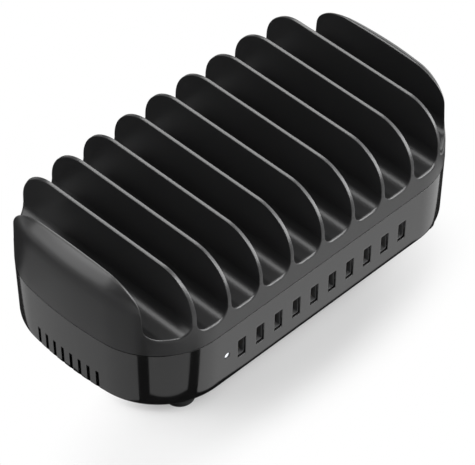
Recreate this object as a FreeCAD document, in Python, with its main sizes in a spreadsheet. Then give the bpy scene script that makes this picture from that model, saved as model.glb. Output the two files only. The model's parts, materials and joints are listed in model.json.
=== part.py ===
import FreeCAD, Part
import math
import os
import Sketcher

# A ten-port charging station with upright dividers for phones and tablets.
# Millimetres. X runs along the row of ports, -Y is the front, Z is up.
# The origin is on the table, under the middle of the station.

SIZES = {
    # Whole station
    "length": 274.0,
    "depth": 148.6,
    "end_bulge": 11.7,
    "corner_radius": 49.3,
    "foot_drop": 5.0,
    "band_height": 43.4,
    "rim_height": 12.0,
    "divider_height": 37.8,
    "wall": 2.5,
    "overrun": 5.0,
    "part_gap": 0.3,
    # Top housing with its dividers
    "top_draft": 1.2,
    "side_round": 28.0,
    "end_round": 15.6,
    "end_land": 10.35,
    "divider_root": 2.9,
    "divider_tip": 2.3,
    "slot_round": 8.0,
    "lip_height": 4.0,
    "lip_thickness": 1.6,
    "lip_clearance": 0.2,
    "top_boss_diameter": 8.0,
    "top_boss_bore": 3.0,
    # Base housing
    "band_taper": 1.6,
    "base_round": 4.0,
    "seam_height": 0.6,
    "seam_depth": 0.9,
    "post_diameter": 11.0,
    "post_height": 22.0,
    "post_shoulder": 3.0,
    "screw_well_diameter": 7.0,
    "vent_width": 2.0,
    "vent_height": 14.7,
    "vent_pitch": 7.05,
    # Feet and the screws above them
    "foot_diameter": 18.6,
    "foot_seat": 1.0,
    "foot_edge": 1.5,
    "foot_end_inset": 34.9,
    "foot_side_inset": 15.6,
    "screw_diameter": 2.8,
    "screw_length": 16.0,
    "screw_head_diameter": 5.6,
    "screw_head_height": 2.2,
    # Sockets along the front
    "port_row_inset": 69.5,
    "port_shift": 1.4,
    "port_width": 6.3,
    "port_height": 14.6,
    "port_level": 20.7,
    "port_corner": 0.5,
    "shell_width": 5.7,
    "shell_height": 13.1,
    "shell_depth": 14.0,
    "shell_wall": 0.35,
    "shell_corner": 0.6,
    "shell_setback": 1.4,
    "tongue_thickness": 1.84,
    "tongue_height": 11.1,
    "tongue_setback": 2.0,
    "tongue_offset": 0.72,
    "tongue_block": 3.0,
    "contact_width": 1.0,
    "contact_thickness": 0.25,
    "contact_length": 6.5,
    "contact_pitch": 2.4,
    # Circuit boards and their screws
    "board_thickness": 1.6,
    "usb_board_left_gap": 18.1,
    "usb_board_right_gap": 22.1,
    "usb_board_reach": 43.3,
    "power_board_left": 96.0,
    "power_board_right": 74.0,
    "power_board_front": 32.0,
    "rear_room": 34.3,
    "power_board_lift": 4.5,
    "standoff_diameter": 6.0,
    "board_hole_inset": 5.0,
    "board_screw_diameter": 2.5,
    "board_screw_depth": 4.0,
    "board_screw_head": 4.6,
    "board_screw_head_height": 1.6,
    "board_hole_clearance": 0.2,
    # Status light left of the sockets
    "light_level": 22.0,
    "light_gap": 10.5,
    "light_diameter": 3.8,
    "light_sink": 0.7,
    "light_edge": 0.2,
    "light_flange_diameter": 5.6,
    "light_flange": 1.0,
    "led_diameter": 3.0,
    "led_length": 4.6,
    "led_leg": 0.6,
    "led_leg_pitch": 2.54,
    # Recess at the rear with inlet and switch
    "recess_width": 78.0,
    "recess_height": 31.0,
    "recess_depth": 6.0,
    "recess_corner": 3.0,
    "rear_level": 21.0,
    "inlet_x": -16.0,
    "inlet_flange_width": 31.0,
    "inlet_flange_height": 24.5,
    "inlet_flange": 2.0,
    "inlet_body_width": 27.0,
    "inlet_body_height": 20.0,
    "inlet_body_depth": 21.0,
    "inlet_corner": 2.5,
    "inlet_socket_width": 24.0,
    "inlet_socket_height": 16.6,
    "inlet_socket_chamfer": 5.0,
    "inlet_socket_depth": 17.0,
    "pin_width": 2.0,
    "pin_height": 4.0,
    "pin_reach": 14.0,
    "pin_tail": 7.0,
    "pin_spacing": 14.0,
    "pin_offset": 4.0,
    "pin_clearance": 0.1,
    # Rocker switch
    "switch_x": 22.0,
    "switch_flange_width": 15.0,
    "switch_flange_height": 21.0,
    "switch_flange": 2.0,
    "switch_body_width": 13.2,
    "switch_body_height": 19.0,
    "switch_body_depth": 12.0,
    "switch_corner": 1.0,
    "rocker_width": 10.2,
    "rocker_half_length": 7.2,
    "rocker_crest": 2.6,
    "rocker_keel": 2.0,
    "rocker_tilt": 10.0,
    "rocker_pin_diameter": 3.0,
    "rocker_pin_reach": 0.9,
    "rocker_pin_gap": 0.15,
    "rocker_pivot": 0.8,
    "switch_tab_width": 4.8,
    "switch_tab_thickness": 0.8,
    "switch_tab_length": 7.0,
    # Pieces on the power board
    "core_width": 34.0,
    "core_depth": 14.0,
    "core_height": 32.0,
    "core_leg": 6.0,
    "winding_depth": 24.0,
    "winding_gap": 0.4,
    "winding_corner": 3.0,
    "bulk_diameter": 22.0,
    "bulk_height": 32.0,
    "output_cap_diameter": 10.0,
    "output_cap_height": 20.0,
    "cap_crimp": 0.5,
    "sink_length": 46.0,
    "sink_height": 26.0,
    "sink_thickness": 2.0,
    "sink_fin": 8.0,
    "choke_diameter": 22.0,
    "choke_height": 10.0,
    "choke_bore": 9.0,
    "choke_corner": 1.5,
    "filter_cap_width": 26.0,
    "filter_cap_depth": 10.0,
    "filter_cap_height": 18.0,
    "filter_cap_corner": 1.0,
    "fuse_diameter": 5.2,
    "fuse_length": 20.0,
    "fuse_cap": 5.0,
    "fuse_waist": 0.4,
    "fuse_cradle": 1.2,
    "rectifier_width": 20.0,
    "rectifier_depth": 4.0,
    "rectifier_height": 17.0,
    "board_margin": 15.0,
    "part_spacing": 5.0,
    "fuse_margin": 10.0,
    # Leads inside
    "lead_diameter": 2.4,
    "lead_bend": 4.0,
    "lead_run": 5.0,
    "lead_arch": 12.0,
    "supply_lead_inset": 10.0,
    "supply_lead_gap": 2.0,
    "supply_lead_pitch": 5.0,
}

SLOTS = 10
PORTS = 10
VENTS = 8
CONTACTS = 4
SINK_FINS = 5
OUTPUT_CAPS = 4

LEAD_SIDES = 8
CAN_GROOVE_SHARE = 0.125

# How close two heights count as the same
NEAR = 0.001


class Size:
    """A length that keeps its value and the expression that gives it from the sheet."""

    def __init__(self, value, text):
        self.value = value
        self.text = text

    def _join(self, other, sign, value):
        return Size(value, "(" + self.text + " " + sign + " " + size(other).text + ")")

    def __add__(self, other):
        return self._join(other, "+", self.value + size(other).value)

    def __radd__(self, other):
        return self + other

    def __sub__(self, other):
        return self._join(other, "-", self.value - size(other).value)

    def __rsub__(self, other):
        return size(other) - self

    def __mul__(self, other):
        return self._join(other, "*", self.value * size(other).value)

    def __rmul__(self, other):
        return self * other

    def __truediv__(self, other):
        return self._join(other, "/", self.value / size(other).value)

    def __neg__(self):
        return Size(-self.value, "(-1 * " + self.text + ")")


def size(thing):
    return thing if isinstance(thing, Size) else Size(float(thing), repr(float(thing)))


def root(thing):
    return Size(math.sqrt(thing.value), "sqrt(" + thing.text + ")")


def tangent(angle):
    return Size(math.tan(math.radians(angle.value)), "tan(" + angle.text + " * 1 deg)")


class Sheet:
    """Every driving dimension as an attribute, from a spreadsheet of the document."""

    def __init__(self, document, sizes):
        sheet = document.addObject("Spreadsheet::Sheet", "Sizes")
        for row, (name, value) in enumerate(sizes.items(), 1):
            sheet.set("A" + str(row), name)
            sheet.set("B" + str(row), str(value))
            sheet.setAlias("B" + str(row), name)
            setattr(self, name, Size(value, "Sizes." + name))


doc = FreeCAD.newDocument("charging_station")
S = Sheet(doc, SIZES)
doc.recompute()
nodes = {}

# Levels and half sizes that several pieces share
half_length = S.length / 2
half_depth = S.depth / 2
seam_z = S.foot_drop + S.band_height
slot_floor_z = seam_z + S.rim_height
top_z = slot_floor_z + S.divider_height
base_floor_z = S.foot_drop + S.wall
port_z = S.foot_drop + S.port_level
light_z = S.foot_drop + S.light_level
rear_z = S.foot_drop + S.rear_level
band_slope = tangent(S.band_taper)
end_radius = (half_depth * half_depth + S.end_bulge * S.end_bulge) / (2 * S.end_bulge)
end_centre = end_radius - half_length
corner_y = half_depth - S.corner_radius
corner_swing = end_radius - S.corner_radius
corner_x = root(corner_swing * corner_swing - corner_y * corner_y) - end_centre
divider_pitch = (S.length - 2 * S.end_land) / SLOTS
foot_x = half_length - S.foot_end_inset
foot_y = half_depth - S.foot_side_inset
port_pitch = (S.length - 2 * S.port_row_inset) / (PORTS - 1)
usb_board_left = foot_x - S.usb_board_left_gap
usb_board_right = foot_x - S.usb_board_right_gap
usb_board_depth = half_depth - S.usb_board_reach
power_board_back = half_depth - S.rear_room


def front_inset(level):
    """How far the tapering band's face lies behind the seam's edge at a level."""
    return (seam_z - level) * band_slope


def bind(obj, prop, value):
    obj.setExpression(prop, size(value).text)


def place(obj, x, y, z):
    for axis, value in zip("xyz", (x, y, z)):
        bind(obj, "Placement.Base." + axis, value)


def box(name, corner, sides):
    obj = doc.addObject("Part::Box", name)
    for prop, value in zip(("Length", "Width", "Height"), sides):
        bind(obj, prop, value)
    place(obj, *corner)
    return obj


UP = FreeCAD.Rotation()
TO_REAR = FreeCAD.Rotation(FreeCAD.Vector(1, 0, 0), -90)
TO_RIGHT = FreeCAD.Rotation(FreeCAD.Vector(0, 1, 0), 90)


def rod(name, foot, diameter, length, turn=UP):
    """A cylinder from its foot point, along Z or as turned."""
    obj = doc.addObject("Part::Cylinder", name)
    bind(obj, "Radius", diameter / 2)
    bind(obj, "Height", length)
    obj.Placement = FreeCAD.Placement(FreeCAD.Vector(), turn)
    place(obj, *foot)
    return obj


def cut(name, base, *tools):
    obj = doc.addObject("Part::Cut", name)
    obj.Base = base
    obj.Tool = tools[0] if len(tools) == 1 else fuse(name + "_cutters", *tools)
    return obj


def fuse(name, *pieces):
    obj = doc.addObject("Part::MultiFuse", name)
    obj.Shapes = list(pieces)
    return obj


def common(name, first, second):
    obj = doc.addObject("Part::Common", name)
    obj.Base = first
    obj.Tool = second
    return obj


def group(name, *pieces):
    obj = doc.addObject("Part::Compound", name)
    obj.Links = list(pieces)
    return obj


def keep(label, obj):
    """Marks a finished sub-part, whose label names its file."""
    obj.Label = label
    nodes[label] = obj
    return obj


def sketch_on(body, name, role, shift):
    """A sketch on one of the body's origin planes, moved along the plane's normal."""
    plane = next(p for p in body.Origin.OriginFeatures if p.Role == role)
    sketch = body.newObject("Sketcher::SketchObject", name)
    sketch.AttachmentSupport = [(plane, "")]
    sketch.MapMode = "FlatFace"
    bind(sketch, "AttachmentOffset.Base.z", shift)
    return sketch


def draw(sketch, path):
    """A closed outline. Each step is (x, y), or (x, y, centre x, centre y, radius) for an arc.

    Arcs run anticlockwise where the radius is positive and clockwise where it is negative.
    """
    ends = [(size(step[0]), size(step[1])) for step in path]
    first = sketch.GeometryCount
    marks = []
    for number, step in enumerate(path):
        a = FreeCAD.Vector(ends[number - 1][0].value, ends[number - 1][1].value, 0)
        b = FreeCAD.Vector(ends[number][0].value, ends[number][1].value, 0)
        if len(step) == 2:
            sketch.addGeometry(Part.LineSegment(a, b), False)
            marks.append((1, 2))
            continue
        centre = FreeCAD.Vector(size(step[2]).value, size(step[3]).value, 0)
        turn_left = size(step[4]).value > 0
        start, stop = (a, b) if turn_left else (b, a)
        angles = [math.atan2(p.y - centre.y, p.x - centre.x) for p in (start, stop)]
        circle = Part.Circle(centre, FreeCAD.Vector(0, 0, 1), abs(size(step[4]).value))
        sketch.addGeometry(Part.ArcOfCircle(circle, angles[0], angles[1]), False)
        marks.append((1, 2) if turn_left else (2, 1))
    for number, step in enumerate(path):
        here = first + number
        after = first + (number + 1) % len(path)
        tail = marks[number][1]
        head = marks[(number + 1) % len(path)][0]
        sketch.addConstraint(Sketcher.Constraint("Coincident", here, tail, after, head))
        for kind, value in zip(("DistanceX", "DistanceY"), ends[number]):
            index = sketch.addConstraint(Sketcher.Constraint(kind, -1, 1, here, tail, value.value))
            bind(sketch, "Constraints[" + str(index) + "]", value)
        if len(step) > 2:
            radius = size(step[4]) if size(step[4]).value > 0 else -size(step[4])
            index = sketch.addConstraint(Sketcher.Constraint("Radius", here, radius.value))
            bind(sketch, "Constraints[" + str(index) + "]", radius)


def station_outline(inset):
    """The station's plan: straight sides, bulging ends and round corners, drawn in by an inset."""
    y = half_depth - inset
    end_share = (end_radius - inset) / corner_swing
    join_x = (corner_x + end_centre) * end_share - end_centre
    join_y = corner_y * end_share
    corner = S.corner_radius - inset
    end = end_radius - inset
    return [
        (corner_x, -y),
        (join_x, -join_y, corner_x, -corner_y, corner),
        (join_x, join_y, -end_centre, 0, end),
        (corner_x, y, corner_x, corner_y, corner),
        (-corner_x, y),
        (-join_x, join_y, -corner_x, corner_y, corner),
        (-join_x, -join_y, end_centre, 0, end),
        (-corner_x, -y, -corner_x, -corner_y, corner),
    ]


def rounded_rectangle(x, y, width, height, radius):
    """A rectangle about a centre, with round corners."""
    left, right, low, high = x - width / 2, x + width / 2, y - height / 2, y + height / 2
    return [
        (right - radius, low),
        (right, low + radius, right - radius, low + radius, radius),
        (right, high - radius),
        (right - radius, high, right - radius, high - radius, radius),
        (left + radius, high),
        (left, high - radius, left + radius, high - radius, radius),
        (left, low + radius),
        (left + radius, low, left + radius, low + radius, radius),
    ]


def pad(body, name, sketch, length, reverse=False, taper=None):
    feature = body.newObject("PartDesign::Pad", name)
    feature.Profile = sketch
    feature.Reversed = reverse
    bind(feature, "Length", length)
    if taper is not None:
        bind(feature, "TaperAngle", taper)
    return feature


def prism(name, role, shift, length, paths, reverse=False, taper=None):
    """A body padded from one or more outlines on a plane."""
    body = doc.addObject("PartDesign::Body", name)
    sketch = sketch_on(body, name + "_profile", role, shift)
    for path in paths:
        draw(sketch, path)
    pad(body, name + "_pad", sketch, length, reverse, taper)
    return body


def bar_to_rear(name, front_y, length, *paths):
    """A prism along Y from its front face, drawn in X and Z."""
    return prism(name, "XZ_Plane", -front_y, length, paths, reverse=True)


def turned(name, foot, profile, turn=UP):
    """A solid of revolution about its own Z axis, drawn as radius and height."""
    body = doc.addObject("PartDesign::Body", name)
    sketch = sketch_on(body, name + "_profile", "XZ_Plane", 0)
    draw(sketch, profile)
    feature = body.newObject("PartDesign::Revolution", name + "_turn")
    feature.Profile = sketch
    feature.ReferenceAxis = (sketch, ["V_Axis"])
    feature.Angle = 360
    body.Placement = FreeCAD.Placement(FreeCAD.Vector(), turn)
    place(body, *foot)
    return body


def edges_at_height(shape, height):
    """Numbers of the edges that lie flat at a height."""
    flat = []
    for number, edge in enumerate(shape.Edges, 1):
        limits = edge.BoundBox
        if abs(limits.ZMin - height) < NEAR and abs(limits.ZMax - height) < NEAR:
            flat.append(number)
    return flat


def loaf(name, inset):
    """The station's upper block, rounded more along its sides than round its ends."""
    block = prism(name + "_block", "XY_Plane", seam_z, top_z - inset - seam_z, [station_outline(inset)],
                  taper=-S.top_draft)
    doc.recompute()
    shape = block.Shape
    along_side = S.side_round.value - inset.value
    along_end = S.end_round.value - inset.value
    rounds = []
    for number in edges_at_height(shape, shape.BoundBox.ZMax):
        edge = shape.Edges[number - 1]
        first, last = (abs(vertex.Point.y) for vertex in edge.Vertexes)
        if isinstance(edge.Curve, Part.Line):
            rounds.append((number, along_side, along_side))
        elif edge.Curve.Radius > S.corner_radius.value:
            rounds.append((number, along_end, along_end))
        elif first > last:
            rounds.append((number, along_side, along_end))
        else:
            rounds.append((number, along_end, along_side))
    rounded = doc.addObject("Part::Fillet", name)
    rounded.Base = block
    rounded.Edges = rounds
    return rounded


def slot_shape(number):
    """One U-shaped slot, a little wider at its mouth than at its floor."""
    middle = divider_pitch * (number - (SLOTS - 1) / 2)
    low = (divider_pitch - S.divider_root) / 2
    high = (divider_pitch - S.divider_tip) / 2
    lean = (high - low) / S.divider_height
    mouth = top_z + S.overrun
    high_reach = low + lean * (S.divider_height + S.overrun)
    slant = root(1 + lean * lean)
    centre_x = low + lean * S.slot_round - S.slot_round * slant
    centre_z = slot_floor_z + S.slot_round
    touch_x = centre_x + S.slot_round / slant
    touch_z = centre_z - S.slot_round * lean / slant
    path = [
        (middle + centre_x, slot_floor_z),
        (middle + touch_x, touch_z, middle + centre_x, centre_z, S.slot_round),
        (middle + high_reach, mouth),
        (middle - high_reach, mouth),
        (middle - touch_x, touch_z),
        (middle - centre_x, slot_floor_z, middle - centre_x, centre_z, S.slot_round),
    ]
    return bar_to_rear("slot_" + str(number + 1), -half_depth - S.overrun, S.depth + 2 * S.overrun, path)


def four_corners():
    """The signs of the four corners, with their names."""
    return [("front_left", -1, -1), ("front_right", 1, -1), ("rear_left", -1, 1), ("rear_right", 1, 1)]


def make_top_housing():
    outer = loaf("top_outside", size(0))
    inner = loaf("top_inside", S.wall)
    ceiling_z = slot_floor_z - S.wall
    end_face = divider_pitch * (SLOTS / 2) - S.divider_tip / 2 + S.wall
    under = box("top_hollow_under", (-half_length, -half_depth, seam_z - S.overrun),
                (S.length, S.depth, ceiling_z - seam_z + S.overrun))
    left = box("top_hollow_left", (-half_length, -half_depth, seam_z - S.overrun),
               (half_length - end_face, S.depth, top_z))
    right = box("top_hollow_right", (end_face, -half_depth, seam_z - S.overrun),
                (half_length - end_face, S.depth, top_z))
    hollow = common("top_hollow", inner, fuse("top_hollow_zone", under, left, right))
    shell = cut("top_shell", outer, hollow, *[slot_shape(number) for number in range(SLOTS)])
    lip_outside = S.wall + S.lip_clearance
    lip = prism("top_lip", "XY_Plane", seam_z - S.lip_height, ceiling_z - seam_z + S.lip_height,
                [station_outline(lip_outside + front_inset(seam_z - S.lip_height)),
                 station_outline(lip_outside + S.lip_thickness)])
    boss_foot = base_floor_z + S.post_height
    bosses = []
    bores = []
    for name, x, y in four_corners():
        foot = (foot_x * x, foot_y * y, boss_foot)
        bosses.append(rod("top_boss_" + name, foot, S.top_boss_diameter, ceiling_z - boss_foot + S.wall / 2))
        bores.append(rod("top_boss_bore_" + name, foot, S.top_boss_bore, S.screw_length))
    keep("top_housing", cut("top_finished", fuse("top_joined", shell, lip, *bosses), *bores))


def usb_board_z():
    """Underside of the board that carries the sockets."""
    return port_z - S.shell_height / 2 - S.board_thickness


def shell_front():
    """Y of the sockets' front edges, just behind the band's face."""
    return -half_depth + front_inset(port_z) + S.shell_setback


def usb_board_front():
    return shell_front() + S.wall


def port_x(number):
    return S.port_shift + port_pitch * (number - (PORTS - 1) / 2)


def light_x():
    return port_x(0) - S.port_width / 2 - S.light_gap + S.light_diameter / 2


def recess_floor():
    """Y of the flat floor of the recess at the rear."""
    return half_depth - S.recess_depth


def recess_x():
    return (S.inlet_x + S.switch_x) / 2


def board_holes():
    """Name, place and board level of each board screw."""
    usb_front = usb_board_front()
    low = base_floor_z + S.power_board_lift
    inset = S.board_hole_inset
    places = []
    for name, x in (("left", inset - usb_board_left), ("right", usb_board_right - inset)):
        places.append(("usb_" + name, x, usb_front + usb_board_depth - inset, usb_board_z()))
    for name, x in (("left", inset - S.power_board_left), ("right", S.power_board_right - inset)):
        places.append(("power_front_" + name, x, inset - S.power_board_front, low))
        places.append(("power_rear_" + name, x, power_board_back - inset, low))
    return places


def make_base_housing():
    body = doc.addObject("PartDesign::Body", "base_tray")
    rim = sketch_on(body, "base_rim", "XY_Plane", seam_z)
    draw(rim, station_outline(size(0)))
    block = pad(body, "base_block", rim, S.band_height, reverse=True, taper=-S.band_taper)
    doc.recompute()
    foot_edges = edges_at_height(body.Shape, body.Shape.BoundBox.ZMin)
    rounding = body.newObject("PartDesign::Fillet", "base_edge")
    rounding.Base = (block, ["Edge" + str(number) for number in foot_edges])
    bind(rounding, "Radius", S.base_round)
    doc.recompute()
    inner = sketch_on(body, "base_inner_rim", "XY_Plane", seam_z)
    draw(inner, station_outline(S.wall))
    hollow = body.newObject("PartDesign::Pocket", "base_hollow")
    hollow.Profile = inner
    bind(hollow, "Length", S.band_height - S.wall)
    bind(hollow, "TaperAngle", -S.band_taper)

    seam = prism("seam_groove", "XY_Plane", seam_z - S.seam_height, S.seam_height + S.overrun,
                 [station_outline(-S.overrun), station_outline(S.seam_depth)])
    added = []
    removed = [seam]
    for name, x, y in four_corners():
        middle = (foot_x * x, foot_y * y)
        added.append(rod("base_post_" + name, (*middle, base_floor_z - S.wall / 2), S.post_diameter,
                         S.post_height + S.wall / 2))
        shoulder = base_floor_z + S.post_height - S.post_shoulder
        removed.append(rod("foot_seat_" + name, (*middle, S.foot_drop - S.overrun),
                           S.foot_diameter + 2 * S.part_gap, S.foot_seat + S.overrun))
        removed.append(rod("screw_well_" + name, (*middle, S.foot_drop - S.overrun), S.screw_well_diameter,
                           shoulder - S.foot_drop + S.overrun))
        removed.append(rod("screw_way_" + name, (*middle, shoulder - S.overrun),
                           S.screw_diameter + 2 * S.part_gap, S.screw_length + S.overrun))
    for name, x, y, level in board_holes():
        added.append(rod("standoff_" + name, (x, y, base_floor_z - S.wall / 2), S.standoff_diameter,
                         level - base_floor_z + S.wall / 2))
        removed.append(rod("standoff_bore_" + name, (x, y, level - S.board_screw_depth),
                           S.board_screw_diameter + S.board_hole_clearance, S.board_screw_depth + S.overrun))
    added.append(box("rear_pad", (recess_x() - S.recess_width / 2 - S.wall, recess_floor() - S.wall,
                                  base_floor_z - S.wall / 2),
                     (S.recess_width + 2 * S.wall, S.recess_depth - S.wall / 2,
                      rear_z + S.recess_height / 2 + S.wall - base_floor_z + S.wall / 2)))

    removed.append(bar_to_rear("rear_recess", recess_floor(), S.recess_depth + S.overrun,
                               rounded_rectangle(recess_x(), rear_z, S.recess_width, S.recess_height,
                                                 S.recess_corner)))
    through = (recess_floor() - S.wall - S.overrun, S.wall + 2 * S.overrun)
    removed.append(bar_to_rear("inlet_way", *through, rounded_rectangle(
        S.inlet_x, rear_z, S.inlet_body_width + 2 * S.part_gap, S.inlet_body_height + 2 * S.part_gap,
        S.inlet_corner)))
    removed.append(bar_to_rear("switch_way", *through, rounded_rectangle(
        S.switch_x, rear_z, S.switch_body_width + 2 * S.part_gap, S.switch_body_height + 2 * S.part_gap,
        S.switch_corner)))

    front = (-half_depth - S.overrun, S.wall + S.overrun + front_inset(S.foot_drop) + S.part_gap)
    for number in range(PORTS):
        removed.append(bar_to_rear("port_way_" + str(number + 1), *front, rounded_rectangle(
            port_x(number), port_z, S.port_width, S.port_height, S.port_corner)))
    removed.append(rod("light_way", (light_x(), -half_depth - S.overrun, light_z),
                       S.light_diameter + 2 * S.part_gap, front[1], TO_REAR))
    row_half = S.vent_pitch * (VENTS - 1) / 2 + S.vent_width / 2
    vent_depth = row_half * row_half / (2 * end_radius) + front_inset(S.foot_drop) + S.wall + S.part_gap
    reach = vent_depth + S.overrun
    for end, start in (("left", -half_length - S.overrun), ("right", half_length - vent_depth)):
        for number in range(VENTS):
            y = S.vent_pitch * (number - (VENTS - 1) / 2)
            removed.append(box("vent_" + end + "_" + str(number + 1),
                               (start, y - S.vent_width / 2, S.foot_drop - S.overrun),
                               (reach, S.vent_width, S.vent_height + S.overrun)))
    keep("base_housing", cut("base_finished", fuse("base_joined", body, *added), *removed))


def make_feet():
    radius = S.foot_diameter / 2
    tall = S.foot_drop + S.foot_seat
    profile = [
        (radius - S.foot_edge, 0),
        (radius, S.foot_edge),
        (radius, tall),
        (0, tall),
        (0, 0),
    ]
    for name, x, y in four_corners():
        keep("foot_" + name, turned("foot_" + name, (foot_x * x, foot_y * y, 0), profile))


def make_housing_screws():
    shoulder = base_floor_z + S.post_height - S.post_shoulder
    screws = []
    for name, x, y in four_corners():
        middle = (foot_x * x, foot_y * y)
        head = rod("screw_head_" + name, (*middle, shoulder - S.screw_head_height), S.screw_head_diameter,
                   S.screw_head_height)
        shank = rod("screw_shank_" + name, (*middle, shoulder - S.screw_head_height / 2), S.screw_diameter,
                    S.screw_length)
        screws.append(fuse("screw_" + name, head, shank))
    keep("housing_screws", group("housing_screws", *screws))


def make_board_screws():
    screws = []
    for name, x, y, level in board_holes():
        top = level + S.board_thickness
        head = rod("board_screw_head_" + name, (x, y, top), S.board_screw_head, S.board_screw_head_height)
        shank = rod("board_screw_shank_" + name, (x, y, level - S.board_screw_depth + S.part_gap),
                    S.board_screw_diameter, S.board_screw_depth + S.board_thickness)
        screws.append(fuse("board_screw_" + name, head, shank))
    keep("board_screws", group("board_screws", *screws))


def drilled_board(label, corner, sides, which):
    """A circuit board with the holes for its own screws."""
    holes = [rod(label + "_hole_" + name, (x, y, level - S.overrun),
                 S.board_screw_diameter + 2 * S.board_hole_clearance, S.board_thickness + 2 * S.overrun)
             for name, x, y, level in board_holes() if name.startswith(which)]
    keep(label, cut(label, box(label + "_sheet", corner, sides), *holes))


def make_boards():
    drilled_board("usb_board", (-usb_board_left, usb_board_front(), usb_board_z()),
                  (usb_board_left + usb_board_right, usb_board_depth, S.board_thickness), "usb")
    drilled_board("power_board",
                  (-S.power_board_left, -S.power_board_front, base_floor_z + S.power_board_lift),
                  (S.power_board_left + S.power_board_right, S.power_board_front + power_board_back,
                   S.board_thickness), "power")


def make_sockets():
    """Ten upright sockets: a folded shell, a moulded tongue, and four contacts on the tongue."""
    front = shell_front()
    inner_width = S.shell_width - 2 * S.shell_wall
    inner_height = S.shell_height - 2 * S.shell_wall
    inner_corner = S.shell_corner - S.shell_wall
    tongue_front = front + S.tongue_setback
    block_front = front + S.shell_depth - S.tongue_block
    contacts = []
    for number in range(PORTS):
        x = port_x(number)
        digits = str(number + 1).zfill(2)
        keep("usb_shell_" + digits, bar_to_rear(
            "usb_shell_" + digits, front, S.shell_depth,
            rounded_rectangle(x, port_z, S.shell_width, S.shell_height, S.shell_corner),
            rounded_rectangle(x, port_z, inner_width, inner_height, inner_corner)))
        left = x - inner_width / 2 + S.tongue_offset
        tongue = box("tongue_blade_" + digits, (left, tongue_front, port_z - S.tongue_height / 2),
                     (S.tongue_thickness, block_front - tongue_front + S.tongue_block / 2, S.tongue_height))
        block = bar_to_rear("tongue_block_" + digits, block_front, S.tongue_block,
                            rounded_rectangle(x, port_z, inner_width, inner_height, inner_corner))
        keep("usb_tongue_" + digits, fuse("usb_tongue_" + digits, tongue, block))
        for place_number in range(CONTACTS):
            z = port_z + S.contact_pitch * (place_number - (CONTACTS - 1) / 2)
            corner = (left + S.tongue_thickness, block_front - S.contact_length, z - S.contact_width / 2)
            contacts.append(box("contact_" + digits + "_" + str(place_number + 1), corner,
                                (S.contact_thickness, S.contact_length, S.contact_width)))
    keep("usb_contacts", group("usb_contacts", *contacts))


def make_status_light():
    """A clear light pipe through the front, with a small diode standing behind it."""
    outside = -half_depth + front_inset(light_z) + S.light_sink
    inside = -half_depth + front_inset(light_z) + S.wall + S.part_gap
    reach = inside - outside
    radius = S.light_diameter / 2
    flange = S.light_flange_diameter / 2
    profile = [
        (radius - S.light_edge, 0),
        (radius, S.light_edge),
        (radius, reach),
        (flange, reach),
        (flange, reach + S.light_flange),
        (0, reach + S.light_flange),
        (0, 0),
    ]
    keep("light_pipe", turned("light_pipe", (light_x(), outside, light_z), profile, TO_REAR))
    start = inside + S.light_flange
    bulb = S.led_diameter / 2
    length = S.led_length
    dome = [
        (bulb, bulb, 0, bulb, bulb),
        (bulb, length),
        (0, length),
        (0, 0),
    ]
    lamp = turned("led_lamp", (light_x(), start, light_z), dome, TO_REAR)
    board_top = usb_board_z() + S.board_thickness
    legs = []
    for name, side in (("left", -1), ("right", 1)):
        x = light_x() + S.led_leg_pitch / 2 * side - S.led_leg / 2
        legs.append(box("led_leg_" + name, (x, start + length - S.led_leg * 2, board_top),
                        (S.led_leg, S.led_leg, light_z - board_top)))
    keep("status_led", fuse("status_led", lamp, *legs))


def make_inlet():
    """A three-pin appliance inlet with its flange on the floor of the recess."""
    seat = recess_floor()
    flange = bar_to_rear("inlet_flange_plate", seat, S.inlet_flange, rounded_rectangle(
        S.inlet_x, rear_z, S.inlet_flange_width, S.inlet_flange_height, S.inlet_corner))
    block = bar_to_rear("inlet_block", seat + S.inlet_flange - S.inlet_body_depth, S.inlet_body_depth,
                        rounded_rectangle(S.inlet_x, rear_z, S.inlet_body_width, S.inlet_body_height,
                                          S.inlet_corner))
    left = S.inlet_x - S.inlet_socket_width / 2
    right = S.inlet_x + S.inlet_socket_width / 2
    low = rear_z - S.inlet_socket_height / 2
    high = rear_z + S.inlet_socket_height / 2
    slope = S.inlet_socket_chamfer
    mouth = [(right, low), (right, high - slope), (right - slope, high), (left + slope, high),
             (left, high - slope), (left, low)]
    back = seat + S.inlet_flange - S.inlet_socket_depth
    socket = bar_to_rear("inlet_socket", back, S.inlet_socket_depth + S.overrun, mouth)
    pins = []
    ways = []
    line = rear_z - S.pin_offset / 2
    for name, x, z in (("line", -S.pin_spacing / 2, line), ("neutral", S.pin_spacing / 2, line),
                       ("earth", size(0), line + S.pin_offset)):
        wide = S.pin_width + 2 * S.pin_clearance
        tall = S.pin_height + 2 * S.pin_clearance
        x = S.inlet_x + x
        tail = seat + S.inlet_flange - S.inlet_body_depth - S.pin_tail
        pins.append(box("inlet_pin_" + name, (x - S.pin_width / 2, tail, z - S.pin_height / 2),
                        (S.pin_width, back + S.pin_reach - tail, S.pin_height)))
        ways.append(box("inlet_pin_way_" + name, (x - wide / 2, back - S.overrun, z - tall / 2),
                        (wide, 2 * S.overrun, tall)))
    keep("inlet_body", cut("inlet_body", fuse("inlet_moulding", flange, block), socket, *ways))
    keep("inlet_pins", group("inlet_pins", *pins))


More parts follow.
